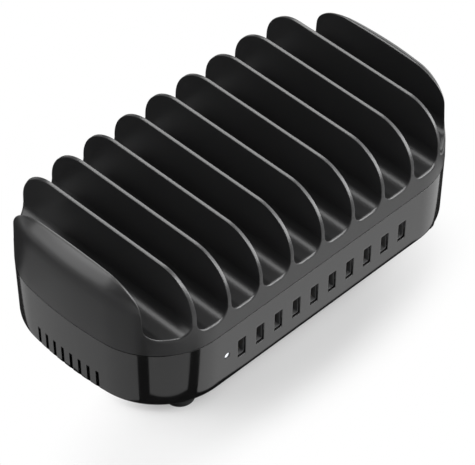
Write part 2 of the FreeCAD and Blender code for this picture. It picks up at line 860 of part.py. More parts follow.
def make_switch():
    """A snap-in rocker switch. The rocker is drawn level, then tipped to its off side."""
    seat = recess_floor()
    face = seat + S.switch_flange
    pivot_y = seat + S.rocker_pivot
    slope = tangent(S.rocker_tilt)
    tip = S.rocker_crest + S.rocker_half_length * slope
    reach = root(S.rocker_half_length * S.rocker_half_length + tip * tip)
    keel_z = root(reach * reach - S.rocker_keel * S.rocker_keel)
    well_half = reach + S.part_gap
    well_width = S.rocker_width + 2 * S.part_gap

    flange = bar_to_rear("switch_flange_plate", seat, S.switch_flange, rounded_rectangle(
        S.switch_x, rear_z, S.switch_flange_width, S.switch_flange_height, S.switch_corner))
    block = bar_to_rear("switch_block", face - S.switch_body_depth, S.switch_body_depth, rounded_rectangle(
        S.switch_x, rear_z, S.switch_body_width, S.switch_body_height, S.switch_corner))
    well_floor = pivot_y - S.rocker_keel - keel_z * slope - S.part_gap
    well = box("switch_well", (S.switch_x - well_width / 2, well_floor, rear_z - well_half),
               (well_width, face - well_floor + S.overrun, 2 * well_half))
    pin_length = S.rocker_width + 2 * S.rocker_pin_reach
    socket = rod("switch_pin_socket", (S.switch_x - pin_length / 2 - S.rocker_pin_gap, pivot_y, rear_z),
                 S.rocker_pin_diameter + 2 * S.rocker_pin_gap, pin_length + 2 * S.rocker_pin_gap, TO_RIGHT)
    keep("switch_body", cut("switch_body", fuse("switch_moulding", flange, block), well, socket))
    tabs = []
    for name, side in (("lower", -1), ("upper", 1)):
        z = rear_z + S.switch_body_height / 4 * side - S.switch_tab_thickness / 2
        tabs.append(box("switch_tab_" + name, (S.switch_x - S.switch_tab_width / 2,
                                               face - S.switch_body_depth - S.switch_tab_length, z),
                        (S.switch_tab_width, S.switch_tab_length, S.switch_tab_thickness)))
    keep("switch_tabs", group("switch_tabs", *tabs))

    body = doc.addObject("PartDesign::Body", "rocker_key")
    sketch = sketch_on(body, "rocker_profile", "YZ_Plane", -S.rocker_width / 2)
    draw(sketch, [
        (-S.rocker_keel, -keel_z),
        (tip, -S.rocker_half_length, 0, 0, reach),
        (S.rocker_crest, 0),
        (tip, S.rocker_half_length),
        (-S.rocker_keel, keel_z, 0, 0, reach),
    ])
    pad(body, "rocker_pad", sketch, S.rocker_width)
    pin = rod("rocker_pin", (-pin_length / 2, 0, 0), S.rocker_pin_diameter, pin_length, TO_RIGHT)
    rocker = fuse("rocker", body, pin)
    rocker.Placement = FreeCAD.Placement(FreeCAD.Vector(), FreeCAD.Rotation(FreeCAD.Vector(1, 0, 0), 1))
    bind(rocker, "Placement.Rotation.Angle", S.rocker_tilt)
    place(rocker, S.switch_x, pivot_y, rear_z)
    keep("rocker", rocker)


def can(name, foot, diameter, height):
    """An electrolytic capacitor's can with its rolled groove and bevelled top."""
    radius = diameter / 2
    crimp = S.cap_crimp
    groove = height * CAN_GROOVE_SHARE
    return turned(name, foot, [
        (radius, 0),
        (radius, groove),
        (radius - crimp, groove + crimp),
        (radius, groove + 2 * crimp),
        (radius, height - crimp * 2),
        (radius - crimp * 2, height),
        (0, height),
        (0, 0),
    ])


def comb(name, left_x, front_y, level):
    """An extruded heat sink: an upright web with fins on its rear side."""
    outline = [(left_x, front_y), (left_x + S.sink_length, front_y)]
    pitch = (S.sink_length - S.sink_thickness) / (SINK_FINS - 1)
    root_y = front_y + S.sink_thickness
    out = root_y + S.sink_fin
    for number in range(SINK_FINS):
        right = left_x + S.sink_length - pitch * number
        outline.append((right, out))
        outline.append((right - S.sink_thickness, out))
        if number < SINK_FINS - 1:
            outline.append((right - S.sink_thickness, root_y))
            outline.append((right - pitch, root_y))
    return prism(name, "XY_Plane", level, S.sink_height, [outline])


def transformer_x():
    """Left edge of the transformer, beyond filter, choke and bulk capacitor from the board's right edge."""
    choke_edge = S.power_board_right - S.board_margin - S.filter_cap_width - S.choke_diameter / 2
    return choke_edge - S.bulk_diameter - S.core_width - 2 * S.part_spacing


def output_sink_x():
    return transformer_x() - S.sink_length / 2


def make_power_parts():
    """What turns mains into the sockets' supply, laid out from inlet (right) to output (left)."""
    level = base_floor_z + S.power_board_lift + S.board_thickness
    front = -S.power_board_front
    back = power_board_back
    right = S.power_board_right

    fuse_x = right - S.board_margin
    fuse_y = back - S.fuse_length - S.fuse_margin
    radius = S.fuse_diameter / 2
    fuse_profile = [
        (radius, 0),
        (radius, S.fuse_cap),
        (radius - S.fuse_waist, S.fuse_cap),
        (radius - S.fuse_waist, S.fuse_length - S.fuse_cap),
        (radius, S.fuse_length - S.fuse_cap),
        (radius, S.fuse_length),
        (0, S.fuse_length),
        (0, 0),
    ]
    keep("fuse", turned("fuse", (fuse_x, fuse_y, level + S.fuse_cradle + radius), fuse_profile, TO_REAR))
    clips = []
    for name, y in (("front", fuse_y), ("rear", fuse_y + S.fuse_length - S.fuse_cap)):
        cradle = box("fuse_cradle_" + name, (fuse_x - radius - S.fuse_cradle, y, level),
                     (S.fuse_diameter + 2 * S.fuse_cradle, S.fuse_cap, radius + S.fuse_cradle))
        groove = rod("fuse_groove_" + name, (fuse_x, y - S.overrun, level + S.fuse_cradle + radius),
                     S.fuse_diameter, S.fuse_cap + 2 * S.overrun, TO_REAR)
        clips.append(cut("fuse_clip_" + name, cradle, groove))
    keep("fuse_clips", group("fuse_clips", *clips))

    filter_x = right - S.board_margin - S.filter_cap_width
    filter_y = front + S.board_margin
    filter_plan = rounded_rectangle(filter_x + S.filter_cap_width / 2, filter_y, S.filter_cap_width,
                                    S.filter_cap_depth, S.filter_cap_corner)
    keep("filter_capacitor", prism("filter_capacitor", "XY_Plane", level, S.filter_cap_height, [filter_plan]))

    choke_radius = S.choke_diameter / 2
    bore = S.choke_bore / 2
    corner = S.choke_corner
    tall = S.choke_height
    keep("line_choke", turned("line_choke", (filter_x, fuse_y + S.fuse_length / 2, level), [
        (choke_radius - corner, 0),
        (choke_radius, corner),
        (choke_radius, tall - corner),
        (choke_radius - corner, tall),
        (bore + corner, tall),
        (bore, tall - corner),
        (bore, corner),
        (bore + corner, 0),
    ]))
    rectifier_x = filter_x - S.rectifier_width - S.part_spacing
    keep("bridge_rectifier", box("bridge_rectifier", (rectifier_x, filter_y - S.rectifier_depth / 2, level),
                                 (S.rectifier_width, S.rectifier_depth, S.rectifier_height)))
    bulk_y = fuse_y + S.fuse_length / 2
    bulk_x = filter_x - choke_radius - S.part_spacing - S.bulk_diameter / 2
    keep("bulk_capacitor", can("bulk_capacitor", (bulk_x, bulk_y, level), S.bulk_diameter, S.bulk_height))

    core_x = transformer_x()
    core_y = (back - S.power_board_front) / 2
    core_front = core_y - S.core_depth / 2
    block = box("core_block", (core_x, core_front, level), (S.core_width, S.core_depth, S.core_height))
    window_width = (S.core_width - S.core_leg * 4) / 2
    right_window = core_x + S.core_width - S.core_leg - window_width
    windows = []
    for name, x in (("left", core_x + S.core_leg), ("right", right_window)):
        windows.append(box("core_window_" + name, (x, core_front - S.overrun, level + S.core_leg),
                           (window_width, S.core_depth + 2 * S.overrun, S.core_height - 2 * S.core_leg)))
    keep("transformer_core", cut("transformer_core", block, *windows))
    gap = S.winding_gap
    inset = S.core_leg + gap
    winding_plan = rounded_rectangle(core_x + S.core_width / 2, core_y, S.core_width - 2 * inset,
                                     S.winding_depth, S.winding_corner)
    wound = prism("winding_block", "XY_Plane", level + inset, S.core_height - 2 * inset, [winding_plan])
    leg = box("winding_bore", (core_x + S.core_leg + window_width - gap, core_front - gap, level),
              (S.core_leg * 2 + 2 * gap, S.core_depth + 2 * gap, S.core_height))
    keep("transformer_winding", cut("transformer_winding", wound, leg))

    sink_x = core_x + S.core_width - S.sink_length - S.part_spacing
    sink_y = back - S.sink_fin - S.sink_thickness * 2
    keep("primary_heat_sink", comb("primary_heat_sink", sink_x, sink_y, level))
    keep("output_heat_sink", comb("output_heat_sink", output_sink_x(), front + S.part_spacing, level))
    cans = []
    can_x = core_x - S.part_spacing - S.output_cap_diameter / 2
    can_pitch = S.output_cap_diameter + S.part_gap
    for number in range(OUTPUT_CAPS):
        column, row = divmod(number, 2)
        cans.append(can("output_can_" + str(number + 1),
                        (can_x - can_pitch * column, core_y + can_pitch * (row - 0.5), level),
                        S.output_cap_diameter, S.output_cap_height))
    keep("output_capacitors", group("output_capacitors", *cans))


def bent_lead(name, points):
    """A thin lead along straight runs with rounded bends, its round section drawn with a few flats."""
    bend = S.lead_bend.value
    corners = [FreeCAD.Vector(*[size(value).value for value in point]) for point in points]
    edges = []
    start = corners[0]
    for before, here, after in zip(corners, corners[1:], corners[2:]):
        into = (before - here).normalize()
        onward = (after - here).normalize()
        half_turn = into.getAngle(onward) / 2
        touch = bend / math.tan(half_turn)
        first = here + into * touch
        last = here + onward * touch
        middle = here + (into + onward).normalize() * (bend / math.sin(half_turn) - bend)
        edges.append(Part.LineSegment(start, first).toShape())
        edges.append(Part.Arc(first, middle, last).toShape())
        start = last
    edges.append(Part.LineSegment(start, corners[-1]).toShape())
    spine = Part.Wire(edges)
    circle = Part.makeCircle(S.lead_diameter.value / 2, corners[0], corners[1] - corners[0])
    ring = Part.makePolygon(circle.discretize(LEAD_SIDES + 1))
    obj = doc.addObject("Part::Feature", name)
    obj.Shape = spine.makePipeShell([ring], True, False)
    return obj


def make_leads():
    """Mains leads from inlet and switch to the power board, and the supply leads to the sockets."""
    level = base_floor_z + S.power_board_lift + S.board_thickness
    tail = recess_floor() + S.inlet_flange - S.inlet_body_depth - S.pin_tail
    tab = recess_floor() + S.switch_flange - S.switch_body_depth - S.switch_tab_length
    line_z = rear_z - S.pin_offset / 2
    line_x = S.inlet_x - S.pin_spacing / 2
    neutral_x = S.inlet_x + S.pin_spacing / 2
    drop_y = power_board_back - S.part_spacing
    upper = rear_z + S.switch_body_height / 4
    lower = rear_z - S.switch_body_height / 4
    hop = rear_z + S.inlet_body_height
    live = [(line_x, tail, line_z), (line_x, tail - S.lead_run, line_z),
            (line_x, tail - S.lead_run, hop), (S.switch_x, tail - S.lead_run, hop),
            (S.switch_x, tail - S.lead_run, upper), (S.switch_x, tab, upper)]
    switched = [(S.switch_x, tab, lower), (S.switch_x, drop_y, lower), (S.switch_x, drop_y, level)]
    neutral = [(neutral_x, tail, line_z), (neutral_x, drop_y - S.part_spacing, line_z),
               (neutral_x, drop_y - S.part_spacing, level)]
    routes = (("live_lead", live), ("switched_lead", switched), ("neutral_lead", neutral))
    keep("mains_leads", group("mains_leads", *[bent_lead(name, route) for name, route in routes]))
    usb_top = usb_board_z() + S.board_thickness
    usb_y = usb_board_front() + usb_board_depth - S.part_spacing
    arch = usb_top + S.lead_arch
    supply = []
    for number, name in enumerate(("plus", "minus")):
        x = S.supply_lead_inset + S.supply_lead_pitch * number - usb_board_left
        start_x = output_sink_x() - S.supply_lead_gap + S.supply_lead_pitch * (number - 1)
        start_y = S.part_spacing - S.power_board_front
        supply.append(bent_lead(name + "_lead", [(start_x, start_y, level), (start_x, start_y, arch),
                                                 (x, usb_y, arch), (x, usb_y, usb_top)]))
    keep("supply_leads", group("supply_leads", *supply))


def write_parts():
    """Checks every object, then writes each sub-part to its own file."""
    doc.recompute()
    for obj in doc.Objects:
        if "Invalid" in obj.State or "Error" in obj.State:
            raise RuntimeError(obj.Name + " did not build")
    os.makedirs("parts", exist_ok=True)
    for label, obj in nodes.items():
        if obj.Shape.isNull() or not obj.Shape.isValid():
            raise RuntimeError(label + " has no sound shape")
        obj.Shape.exportStep("parts/" + label + ".step")


make_top_housing()
make_base_housing()
make_feet()
make_housing_screws()
make_boards()
make_board_screws()
make_sockets()
make_status_light()
make_inlet()
make_switch()
make_power_parts()
make_leads()
write_parts()
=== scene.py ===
import json
import math
import bpy
import numpy as np
from mathutils import Matrix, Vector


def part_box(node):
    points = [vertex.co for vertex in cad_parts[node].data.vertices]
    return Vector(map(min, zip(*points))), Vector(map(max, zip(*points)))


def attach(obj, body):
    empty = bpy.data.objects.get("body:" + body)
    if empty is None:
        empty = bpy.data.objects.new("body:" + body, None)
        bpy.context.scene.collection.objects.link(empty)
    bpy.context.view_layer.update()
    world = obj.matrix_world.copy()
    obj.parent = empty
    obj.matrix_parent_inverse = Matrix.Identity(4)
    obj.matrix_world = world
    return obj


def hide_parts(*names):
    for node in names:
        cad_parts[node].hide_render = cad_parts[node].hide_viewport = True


# Look of a ten-port charging station: matte upper housing with dividers, glossy band with sockets.
# Shapes are worked out in millimetres in the part's own frame and put into meshes in metres.

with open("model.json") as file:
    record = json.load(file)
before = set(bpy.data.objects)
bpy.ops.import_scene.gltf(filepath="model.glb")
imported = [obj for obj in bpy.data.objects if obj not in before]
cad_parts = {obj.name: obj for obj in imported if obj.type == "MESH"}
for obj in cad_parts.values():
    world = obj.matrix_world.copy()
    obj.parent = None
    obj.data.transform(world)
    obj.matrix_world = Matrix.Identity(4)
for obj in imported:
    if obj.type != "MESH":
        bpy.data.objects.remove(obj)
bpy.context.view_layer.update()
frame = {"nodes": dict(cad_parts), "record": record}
MM = 0.001


def node_box(node):
    """Lowest and highest corner of a CAD node in millimetres."""
    low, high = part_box(node)
    return np.array(low) / MM, np.array(high) / MM


TOP_HIGH = node_box("top_housing")[1]
BASE_LOW, BASE_HIGH = node_box("base_housing")

# Plan outline shared by both housings
HALF_LENGTH = TOP_HIGH[0]
HALF_DEPTH = TOP_HIGH[1]
END_BULGE = 11.7
CORNER = 49.3
END = (HALF_DEPTH ** 2 + END_BULGE ** 2) / (2 * END_BULGE)
END_CENTRE = END - HALF_LENGTH
CORNER_Y = HALF_DEPTH - CORNER
CORNER_X = math.sqrt((END - CORNER) ** 2 - CORNER_Y ** 2) - END_CENTRE
JOIN = math.atan2(CORNER_Y, CORNER_X + END_CENTRE)

# Upper housing
TOP_Z = TOP_HIGH[2]
SEAM_Z = BASE_HIGH[2]
SLOT_FLOOR_Z = SEAM_Z + 12.0
DRAFT = math.radians(1.2)
SIDE_ROUND = 28.0
END_ROUND = 15.6
SLOTS = 10
PITCH = 25.33
DIVIDER_ROOT = 2.9
DIVIDER_TIP = 2.3
SLOT_ROUND = 8.0
EDGE_ROUND = 0.45
EDGE_SUPPORT = 0.3
RIM_ROUND = 1.6
END_LAND = 1.4
END_LAND_RUN = 8
END_INNER_ROUND = 0.2
END_INNER_RUN = 3
END_CORE_Y = 30.0
END_CORE_Z = 78.0
DIVIDER_SINK = 0.25
DIVIDER_OVERLAP = 1.0
SEAM_SHARE = 0.47
LEAN = (DIVIDER_ROOT - DIVIDER_TIP) / 2 / (TOP_Z - SLOT_FLOOR_Z)
SLANT = math.sqrt(1 + LEAN ** 2)
SLOT_HALF = (PITCH - DIVIDER_ROOT) / 2
FILLET_X = SLOT_HALF + LEAN * SLOT_ROUND - SLOT_ROUND * SLANT
FILLET_TOP_Z = SLOT_FLOOR_Z + SLOT_ROUND - SLOT_ROUND * LEAN / SLANT

# Glossy band
BAND_LOW_Z = BASE_LOW[2]
BAND_TAPER = math.radians(1.6)
BAND_ROUND = 2.6
BAND_EDGE = 0.06
SEAM_HEIGHT = 0.6
SEAM_DEPTH = 0.9
WALL = 2.5
VENTS = 8
VENT_PITCH = 7.05
VENT_WIDTH = 2.5
VENT_TOP_Z = BAND_LOW_Z + 14.7
VENT_LOW_Z = BAND_LOW_Z + 0.5
PORTS = ["%02d" % number for number in range(1, 11)]
PORT_MARGIN = 1.0
PORT_CORNER = 0.5
PORT_EDGE = 0.15
LIGHT_WIDTH = 3.8
SHELL_ROOM = (0.3, 0.75)
RECESS_WIDTH = 78.0
RECESS_HEIGHT = 31.0
RECESS_DEPTH = 6.0
RECESS_CORNER = 3.0
RECESS_MARGIN = 0.7
INLET_LAP = 2.2
SWITCH_LAP = 1.0
PANEL_GAP = 0.3

# Small round pieces
FOOT_ROUND = 1.2
FOOT_CLEARANCE = 0.2
LIGHT_DOME = 0.3
LIGHT_STEM_CUT = 1.0

# How finely the surfaces are divided
EDGE_ROWS = 5
SKIN_ROWS = 10
SKIN_CROWDING = 1.3
WALL_ROW = 0.6
SLOT_ROUND_POINTS = 13
FLOOR_ROWS = 5
RISE_POINTS = 6
FAN_POINTS = 25
TOP_POINTS = 7
CORNER_COLUMNS = 34
END_COLUMNS = 15
BAND_ROUND_ROWS = 11
LOOP_CORNER_POINTS = 7
RING_COLUMNS = 49
FOOT_EDGE_POINTS = 7
LIGHT_DOME_POINTS = 9

# Limits of the calculation, and weights that only tell which way a sheet faces
WELD_DIGITS = 3
PLAN_DIGITS = 6
SHARP = 1e-4
RAY_LIMIT = 90.0
HALVINGS = 40
ON_FACE = 0.1
FACE_WEIGHT = 3.0
THIN_WEIGHT = (20, 1, 1)


def stack(x, y, z):
    """Coordinates of any broadcastable shapes as one array of points."""
    return np.stack(np.broadcast_arrays(np.asarray(x, float), np.asarray(y, float), np.asarray(z, float)), -1)


def spread(first, last, count):
    """Evenly spaced numbers with both ends."""
    return np.linspace(first, last, count)


def lerp(a, b, share):
    """The place at a share of the way from a to b."""
    return a + (b - a) * share


def unit(vectors):
    """Vectors with their length made one."""
    return vectors / np.linalg.norm(vectors, axis=-1, keepdims=True)


def rounding_rows(before, edge, after):
    """A soft edge: the quadratic curve from one side of an edge to the other, pulled to the edge itself."""
    share = spread(0, 1, EDGE_ROWS)[:, None, None]
    return (1 - share) ** 2 * before + 2 * share * (1 - share) * edge + share ** 2 * after


def sheet(points, out, keep=None):
    """A grid of points as quads that face along out, with the cells left out where keep is false."""
    rows, columns = points.shape[:2]
    index = np.arange(rows * columns).reshape(rows, columns)
    quads = np.stack([index[:-1, :-1], index[1:, :-1], index[1:, 1:], index[:-1, 1:]], -1)
    across = np.cross(points[1:, 1:] - points[:-1, :-1], points[:-1, 1:] - points[1:, :-1])
    facing = (across * np.broadcast_to(out, points.shape)[:-1, :-1]).sum()
    if facing < 0:
        quads = quads[..., ::-1]
    chosen = quads.reshape(-1, 4) if keep is None else quads[keep]
    return points.reshape(-1, 3), chosen


def weld(sheets):
    """Sheets as one list of points and faces, with points that fall together made one."""
    starts = np.cumsum([0] + [len(spots) for spots, _ in sheets[:-1]])
    points = np.concatenate([spots for spots, _ in sheets])
    quads = np.concatenate([faces + start for (_, faces), start in zip(sheets, starts)])
    _, first, where = np.unique(np.round(points, WELD_DIGITS), axis=0, return_index=True, return_inverse=True)
    quads = where.reshape(-1)[quads]
    same = quads == np.roll(quads, -1, axis=1)
    corners = 4 - same.sum(1)
    whole = quads[corners == 4]
    pinched = quads[corners == 3]
    triangles = pinched[~same[corners == 3]].reshape(-1, 3)
    return points[first], whole, triangles


def piece(name, groups, material, replaced, body="station"):
    """One object from groups of sheets: within a group the shading is smooth, between groups it breaks."""
    vertices, faces, count = [], [], 0
    for sheets in groups:
        points, quads, triangles = weld(sheets)
        vertices.append(points)
        faces += (quads + count).tolist() + (triangles + count).tolist()
        count += len(points)
    mesh = bpy.data.meshes.new(name)
    mesh.from_pydata((np.concatenate(vertices) * MM).tolist(), [], faces)
    mesh.shade_smooth()
    mesh.materials.append(material)
    obj = bpy.data.objects.new(name, mesh)
    bpy.context.scene.collection.objects.link(obj)
    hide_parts(*replaced)
    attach(obj, body)


# Shape of the upper block


def plan(x, y):
    """Depth inside the plan's outline, and the radius of the top rounding there.

    Along the sides the depth is measured from a straight line, in the corners from the corner's circle, and
    at the ends from the large end circle. The rounding shrinks along each corner from side to end.
    """
    ax, ay = np.abs(x), np.abs(y)
    angle = np.arctan2(ay - CORNER_Y, ax - CORNER_X)
    turn_share = np.clip((math.pi / 2 - angle) / (math.pi / 2 - JOIN), 0, 1)
    rounding = lerp(SIDE_ROUND, END_ROUND, turn_share)
    corner = CORNER - np.hypot(ax - CORNER_X, ay - CORNER_Y)
    depth = np.where(angle < JOIN, END - np.hypot(ax + END_CENTRE, ay), corner)
    straight = ax < CORNER_X
    return np.where(straight, HALF_DEPTH - ay, depth), np.where(straight, SIDE_ROUND, rounding)


def inset(rounding, z):
    """How far the skin lies inside the outline: a leaning wall, then a circular shoulder up to the flat top."""
    centre = TOP_Z - rounding
    shoulder_start = centre + rounding * math.sin(DRAFT)
    axis = (centre - SEAM_Z) * math.tan(DRAFT) + rounding / math.cos(DRAFT)
    shoulder = axis - np.sqrt(np.maximum(rounding ** 2 - (z - centre) ** 2, 0))
    return np.where(z > shoulder_start, shoulder, (z - SEAM_Z) * math.tan(DRAFT))


def reach(start, direction):
    """Distance along each ray to the block's skin, found by halving."""
    low = np.zeros(start.shape[:-1])
    high = np.full(start.shape[:-1], RAY_LIMIT)
    for _ in range(HALVINGS):
        middle = (low + high) / 2
        x, y, z = np.moveaxis(start + direction * middle[..., None], -1, 0)
        depth, rounding = plan(x, y)
        within = (depth >= inset(rounding, z)) & (z <= TOP_Z)
        low = np.where(within, middle, low)
        high = np.where(within, high, middle)
    return low


def half_width(x, z):
    """How far the block reaches to front and rear at a place along it and a height."""
    start = stack(x, 0, z)
    return reach(start, stack(np.zeros(start.shape[:-1]), 1, 0))


def dome(along, climb):
    """Skin of the right end: along is the arc length from the end's middle, climb 0 to 1 the wall, 1 to 2 the
    shoulder. The point is the outline's point moved inwards by the inset of its height."""
    end_arc = END * JOIN
    angle = np.where(np.abs(along) <= end_arc, along / END,
                     np.sign(along) * (JOIN + (np.abs(along) - end_arc) / CORNER))
    on_end = np.abs(angle) <= JOIN
    x = np.where(on_end, END * np.cos(angle) - END_CENTRE, CORNER * np.cos(angle) + CORNER_X)
    y = np.where(on_end, END * np.sin(angle), CORNER * np.sin(angle) + np.sign(along) * CORNER_Y)
    turn_share = np.clip((math.pi / 2 - np.abs(angle)) / (math.pi / 2 - JOIN), 0, 1)
    rounding = lerp(SIDE_ROUND, END_ROUND, turn_share)
    start = TOP_Z - rounding + rounding * math.sin(DRAFT)
    tilt = DRAFT + (climb - 1) * (math.pi / 2 - DRAFT)
    z = np.where(climb <= 1, lerp(SEAM_Z, start, climb), TOP_Z - rounding + rounding * np.sin(tilt))
    depth = inset(rounding, z)
    return stack(x - np.cos(angle) * depth, y - np.sin(angle) * depth, z)


def dome_place(points):
    """Along and climb of points that lie on the right end's skin."""
    x, y, z = np.moveaxis(points, -1, 0)
    corner_angle = np.arctan2(np.abs(y) - CORNER_Y, x - CORNER_X)
    end_angle = np.arctan2(np.abs(y), x + END_CENTRE)
    arc = np.where(corner_angle < JOIN, END * end_angle, END * JOIN + CORNER * (corner_angle - JOIN))
    rounding = plan(x, y)[1]
    start = TOP_Z - rounding + rounding * math.sin(DRAFT)
    lift = np.clip((z - TOP_Z + rounding) / rounding, -1, 1)
    shoulder = 1 + (np.arcsin(lift) - DRAFT) / (math.pi / 2 - DRAFT)
    return np.sign(y) * arc, np.where(z <= start, (z - SEAM_Z) / (start - SEAM_Z), shoulder)


def slot_profile():
    """Half of a slot's U from the floor's middle outwards: flat floor, then a quarter circle up to the wall."""
    angle = spread(-math.pi / 2, -math.atan(LEAN), SLOT_ROUND_POINTS)
    x = np.concatenate([[FILLET_X / 2], FILLET_X + SLOT_ROUND * np.cos(angle)])
    z = np.concatenate([[SLOT_FLOOR_Z], SLOT_FLOOR_Z + SLOT_ROUND + SLOT_ROUND * np.sin(angle)])
    return x, z


def skin_steps(first, length):
    """Shares of the way down the skin from a rim to the seam, with rows crowded towards the rim.

    The first row ends the soft edge, and the others keep at least twice its distance.
    """
    steps = spread(0, 1, SKIN_ROWS)[1:, None] ** SKIN_CROWDING
    return np.concatenate([(first / length)[None], np.maximum(steps, 2 * first / length)])


def tray_sheet(seam_ends):
    """Floor of all the slots with the front and rear rim, as one grid across the station.

    A column follows the row of U-shaped slots from end to end. Across it, the floor runs straight to front and
    rear, turns over a soft edge, and falls down the block's skin to the seam.
    """
    x_half, z_half = slot_profile()
    x_slot = np.concatenate([-x_half[::-1], x_half])
    z_slot = np.concatenate([z_half[::-1], z_half])
    middles = PITCH * (np.arange(SLOTS) - (SLOTS - 1) / 2)
    rise = 3 * DIVIDER_SINK
    x_slot = np.concatenate([x_slot[:1] - DIVIDER_SINK, x_slot, x_slot[-1:] + DIVIDER_SINK])
    z_slot = np.concatenate([z_slot[:1] + rise, z_slot, z_slot[-1:] + rise])
    x = (middles[:, None] + x_slot).reshape(-1)[1:-1]
    z = np.tile(z_slot, SLOTS)[1:-1]
    reach_share = spread(-1, 1, len(x_slot)) * SEAM_SHARE
    seam_x = (middles[:, None] + reach_share * PITCH).reshape(-1)[1:-1]
    y = half_width(x, z)
    down = skin_steps(RIM_ROUND, np.hypot(seam_x - x, SEAM_Z - z))
    skin_x = lerp(x, seam_x, down)
    skin_z = lerp(z, SEAM_Z, down)
    skin = stack(skin_x, half_width(skin_x, skin_z), skin_z)
    skin[:, 0] = seam_ends * (-1, 1, 1)
    skin[:, -1] = seam_ends
    inner = stack(x, y - RIM_ROUND, z)[None]
    edge = rounding_rows(inner, stack(x, y, z)[None], skin[:1])
    flat = stack(x, y * spread(0, 1, FLOOR_ROWS)[:-1, None], z)
    flat = np.concatenate([flat, stack(x, y - RIM_ROUND - EDGE_SUPPORT, z)[None]])
    half = np.concatenate([flat, edge, skin[1:]])
    whole = np.concatenate([half[:0:-1] * (1, -1, 1), half])
    return sheet(whole, (0, 0, 1))


def wall_outline(wall_x, core_y, core_z, low_z, side_lean):
    """Core points and rim points of an upright wall, from its front foot over its top to its rear foot.

    Each rim point is where a ray from the wall's core leaves the block: level rays up the front edge, a fan
    round the shoulder, upright rays along the top.
    """
    rise = spread(low_z, core_z, RISE_POINTS)[:-1]
    fan = spread(0, math.pi / 2, FAN_POINTS)
    top = spread(-core_y, 0, TOP_POINTS)[1:]
    y = np.concatenate([np.full(len(rise) + len(fan), -core_y), top])
    z = np.concatenate([rise, np.full(len(fan) + len(top), core_z)])
    dy = np.concatenate([np.full(len(rise), -1.0), -np.cos(fan), np.zeros(len(top))])
    dz = np.concatenate([np.zeros(len(rise)), np.sin(fan), np.ones(len(top))])
    core = stack(wall_x + side_lean * (z - SLOT_FLOOR_Z), y, z)
    ray = stack(side_lean * dz, dy, dz)
    rim = core + ray * reach(core, ray)[..., None]
    mirror = (1, -1, 1)
    return np.concatenate([core, core[-2::-1] * mirror]), np.concatenate([rim, rim[-2::-1] * mirror])


def wall_rows(core, rim, soft):
    """Rows of a flat wall from its core to just before its soft edge, and the line where that edge starts."""
    inwards = unit(core - rim)
    rows = np.stack([core, lerp(core, rim, WALL_ROW), rim + inwards * (soft + EDGE_SUPPORT)])
    return rows, rim + inwards * soft


def core_sheet(core, out):
    """The flat rectangle inside a wall's core line."""
    low, high = core[0], core[len(core) // 2]
    front = np.stack([low, np.array([high[0], low[1], high[2]])])
    return sheet(np.stack([front, front * (1, -1, 1)]), out)


def divider_sheets(number):
    """One divider: a thin plate whose rim follows the block's section, with soft edges on both sides."""
    x = PITCH * (number - (SLOTS - 2) / 2)
    core_z = TOP_Z - SIDE_ROUND
    core_y = float(half_width(x, core_z)) - SIDE_ROUND
    low_z = FILLET_TOP_Z - DIVIDER_OVERLAP
    side = np.array([1.0, 0, 0])
    half = DIVIDER_ROOT / 2
    left_core, left = wall_outline(x - half, core_y, core_z, low_z, LEAN)
    right_core, right = wall_outline(x + half, core_y, core_z, low_z, -LEAN)
    left_rows, left_start = wall_rows(left_core, left, EDGE_ROUND)
    right_rows, right_start = wall_rows(right_core, right, EDGE_ROUND)
    left_edge = rounding_rows(left_start[None], left[None], (left + side * EDGE_ROUND)[None])
    right_edge = rounding_rows(right_start[None], right[None], (right - side * EDGE_ROUND)[None])
    plate = np.concatenate([left_rows, left_edge, right_edge[::-1], right_rows[::-1]])
    away = (plate - np.array([x, 0, core_z - SIDE_ROUND])) * THIN_WEIGHT
    return [sheet(plate, away), core_sheet(left_core, -side), core_sheet(right_core, side)]


def end_sheets():
    """The right end wall, and the line where its skin meets the tray's.

    The wall has a flat inner face, an upper edge and the rounded end down to the seam. The edge is a narrow land
    that faces straight out from the wall's core, with a small rounding on the inner side. At the wall's foot it
    turns into the tray's rim.
    """
    wall_x = PITCH * (SLOTS - 1) / 2 + SLOT_HALF
    core, rim = wall_outline(wall_x, END_CORE_Y, END_CORE_Z, FILLET_TOP_Z, LEAN)
    from_foot = np.minimum(np.arange(len(rim)), np.arange(len(rim))[::-1])
    land = lerp(RIM_ROUND, END_LAND, np.minimum(from_foot / END_LAND_RUN, 1))
    along, climb = dome_place(rim)
    corner_x = PITCH * (SLOTS - 1) / 2 + SEAM_SHARE * PITCH
    seam_point = stack(corner_x, -half_width(corner_x, SEAM_Z), SEAM_Z)
    seam_along = dome_place(seam_point)[0] * spread(1, -1, len(rim))
    down = skin_steps(land, np.linalg.norm(dome(seam_along, 0 * seam_along) - rim, axis=-1))
    skin = dome(lerp(along, seam_along, down), lerp(climb, 0, down))
    clear = np.minimum(from_foot / END_INNER_RUN, 1)[:, None]
    inwards = unit(core - rim)
    fall = np.maximum(((skin[0] - rim) * inwards).sum(-1, keepdims=True), 0)
    crest = rim + inwards * fall * clear
    rows, start = wall_rows(core, crest, lerp(RIM_ROUND, END_INNER_ROUND, clear))
    edge = rounding_rows(start[None], crest[None], skin[:1])
    inside = sheet(np.concatenate([rows, edge]), (-1, 0, 0.4))
    outside = sheet(np.concatenate([edge[-1:], skin[1:]]), (1, 0, 0))
    return [inside, core_sheet(core, (-1, 0, 0)), outside], skin[:, -1]


def mirrored(sheets):
    """The same sheets on the other side of the middle, still facing outwards."""
    return [(points * (-1, 1, 1), quads[:, ::-1]) for points, quads in sheets]


def upper_housing(material):
    """Both end walls and the tray as one smooth group, and each divider as its own."""
    right, seam_line = end_sheets()
    groups = [right + mirrored(right) + [tray_sheet(seam_line)]]
    groups += [divider_sheets(number) for number in range(SLOTS - 1)]
    piece("upper_housing", groups, material, ["top_housing"])


# Glossy band


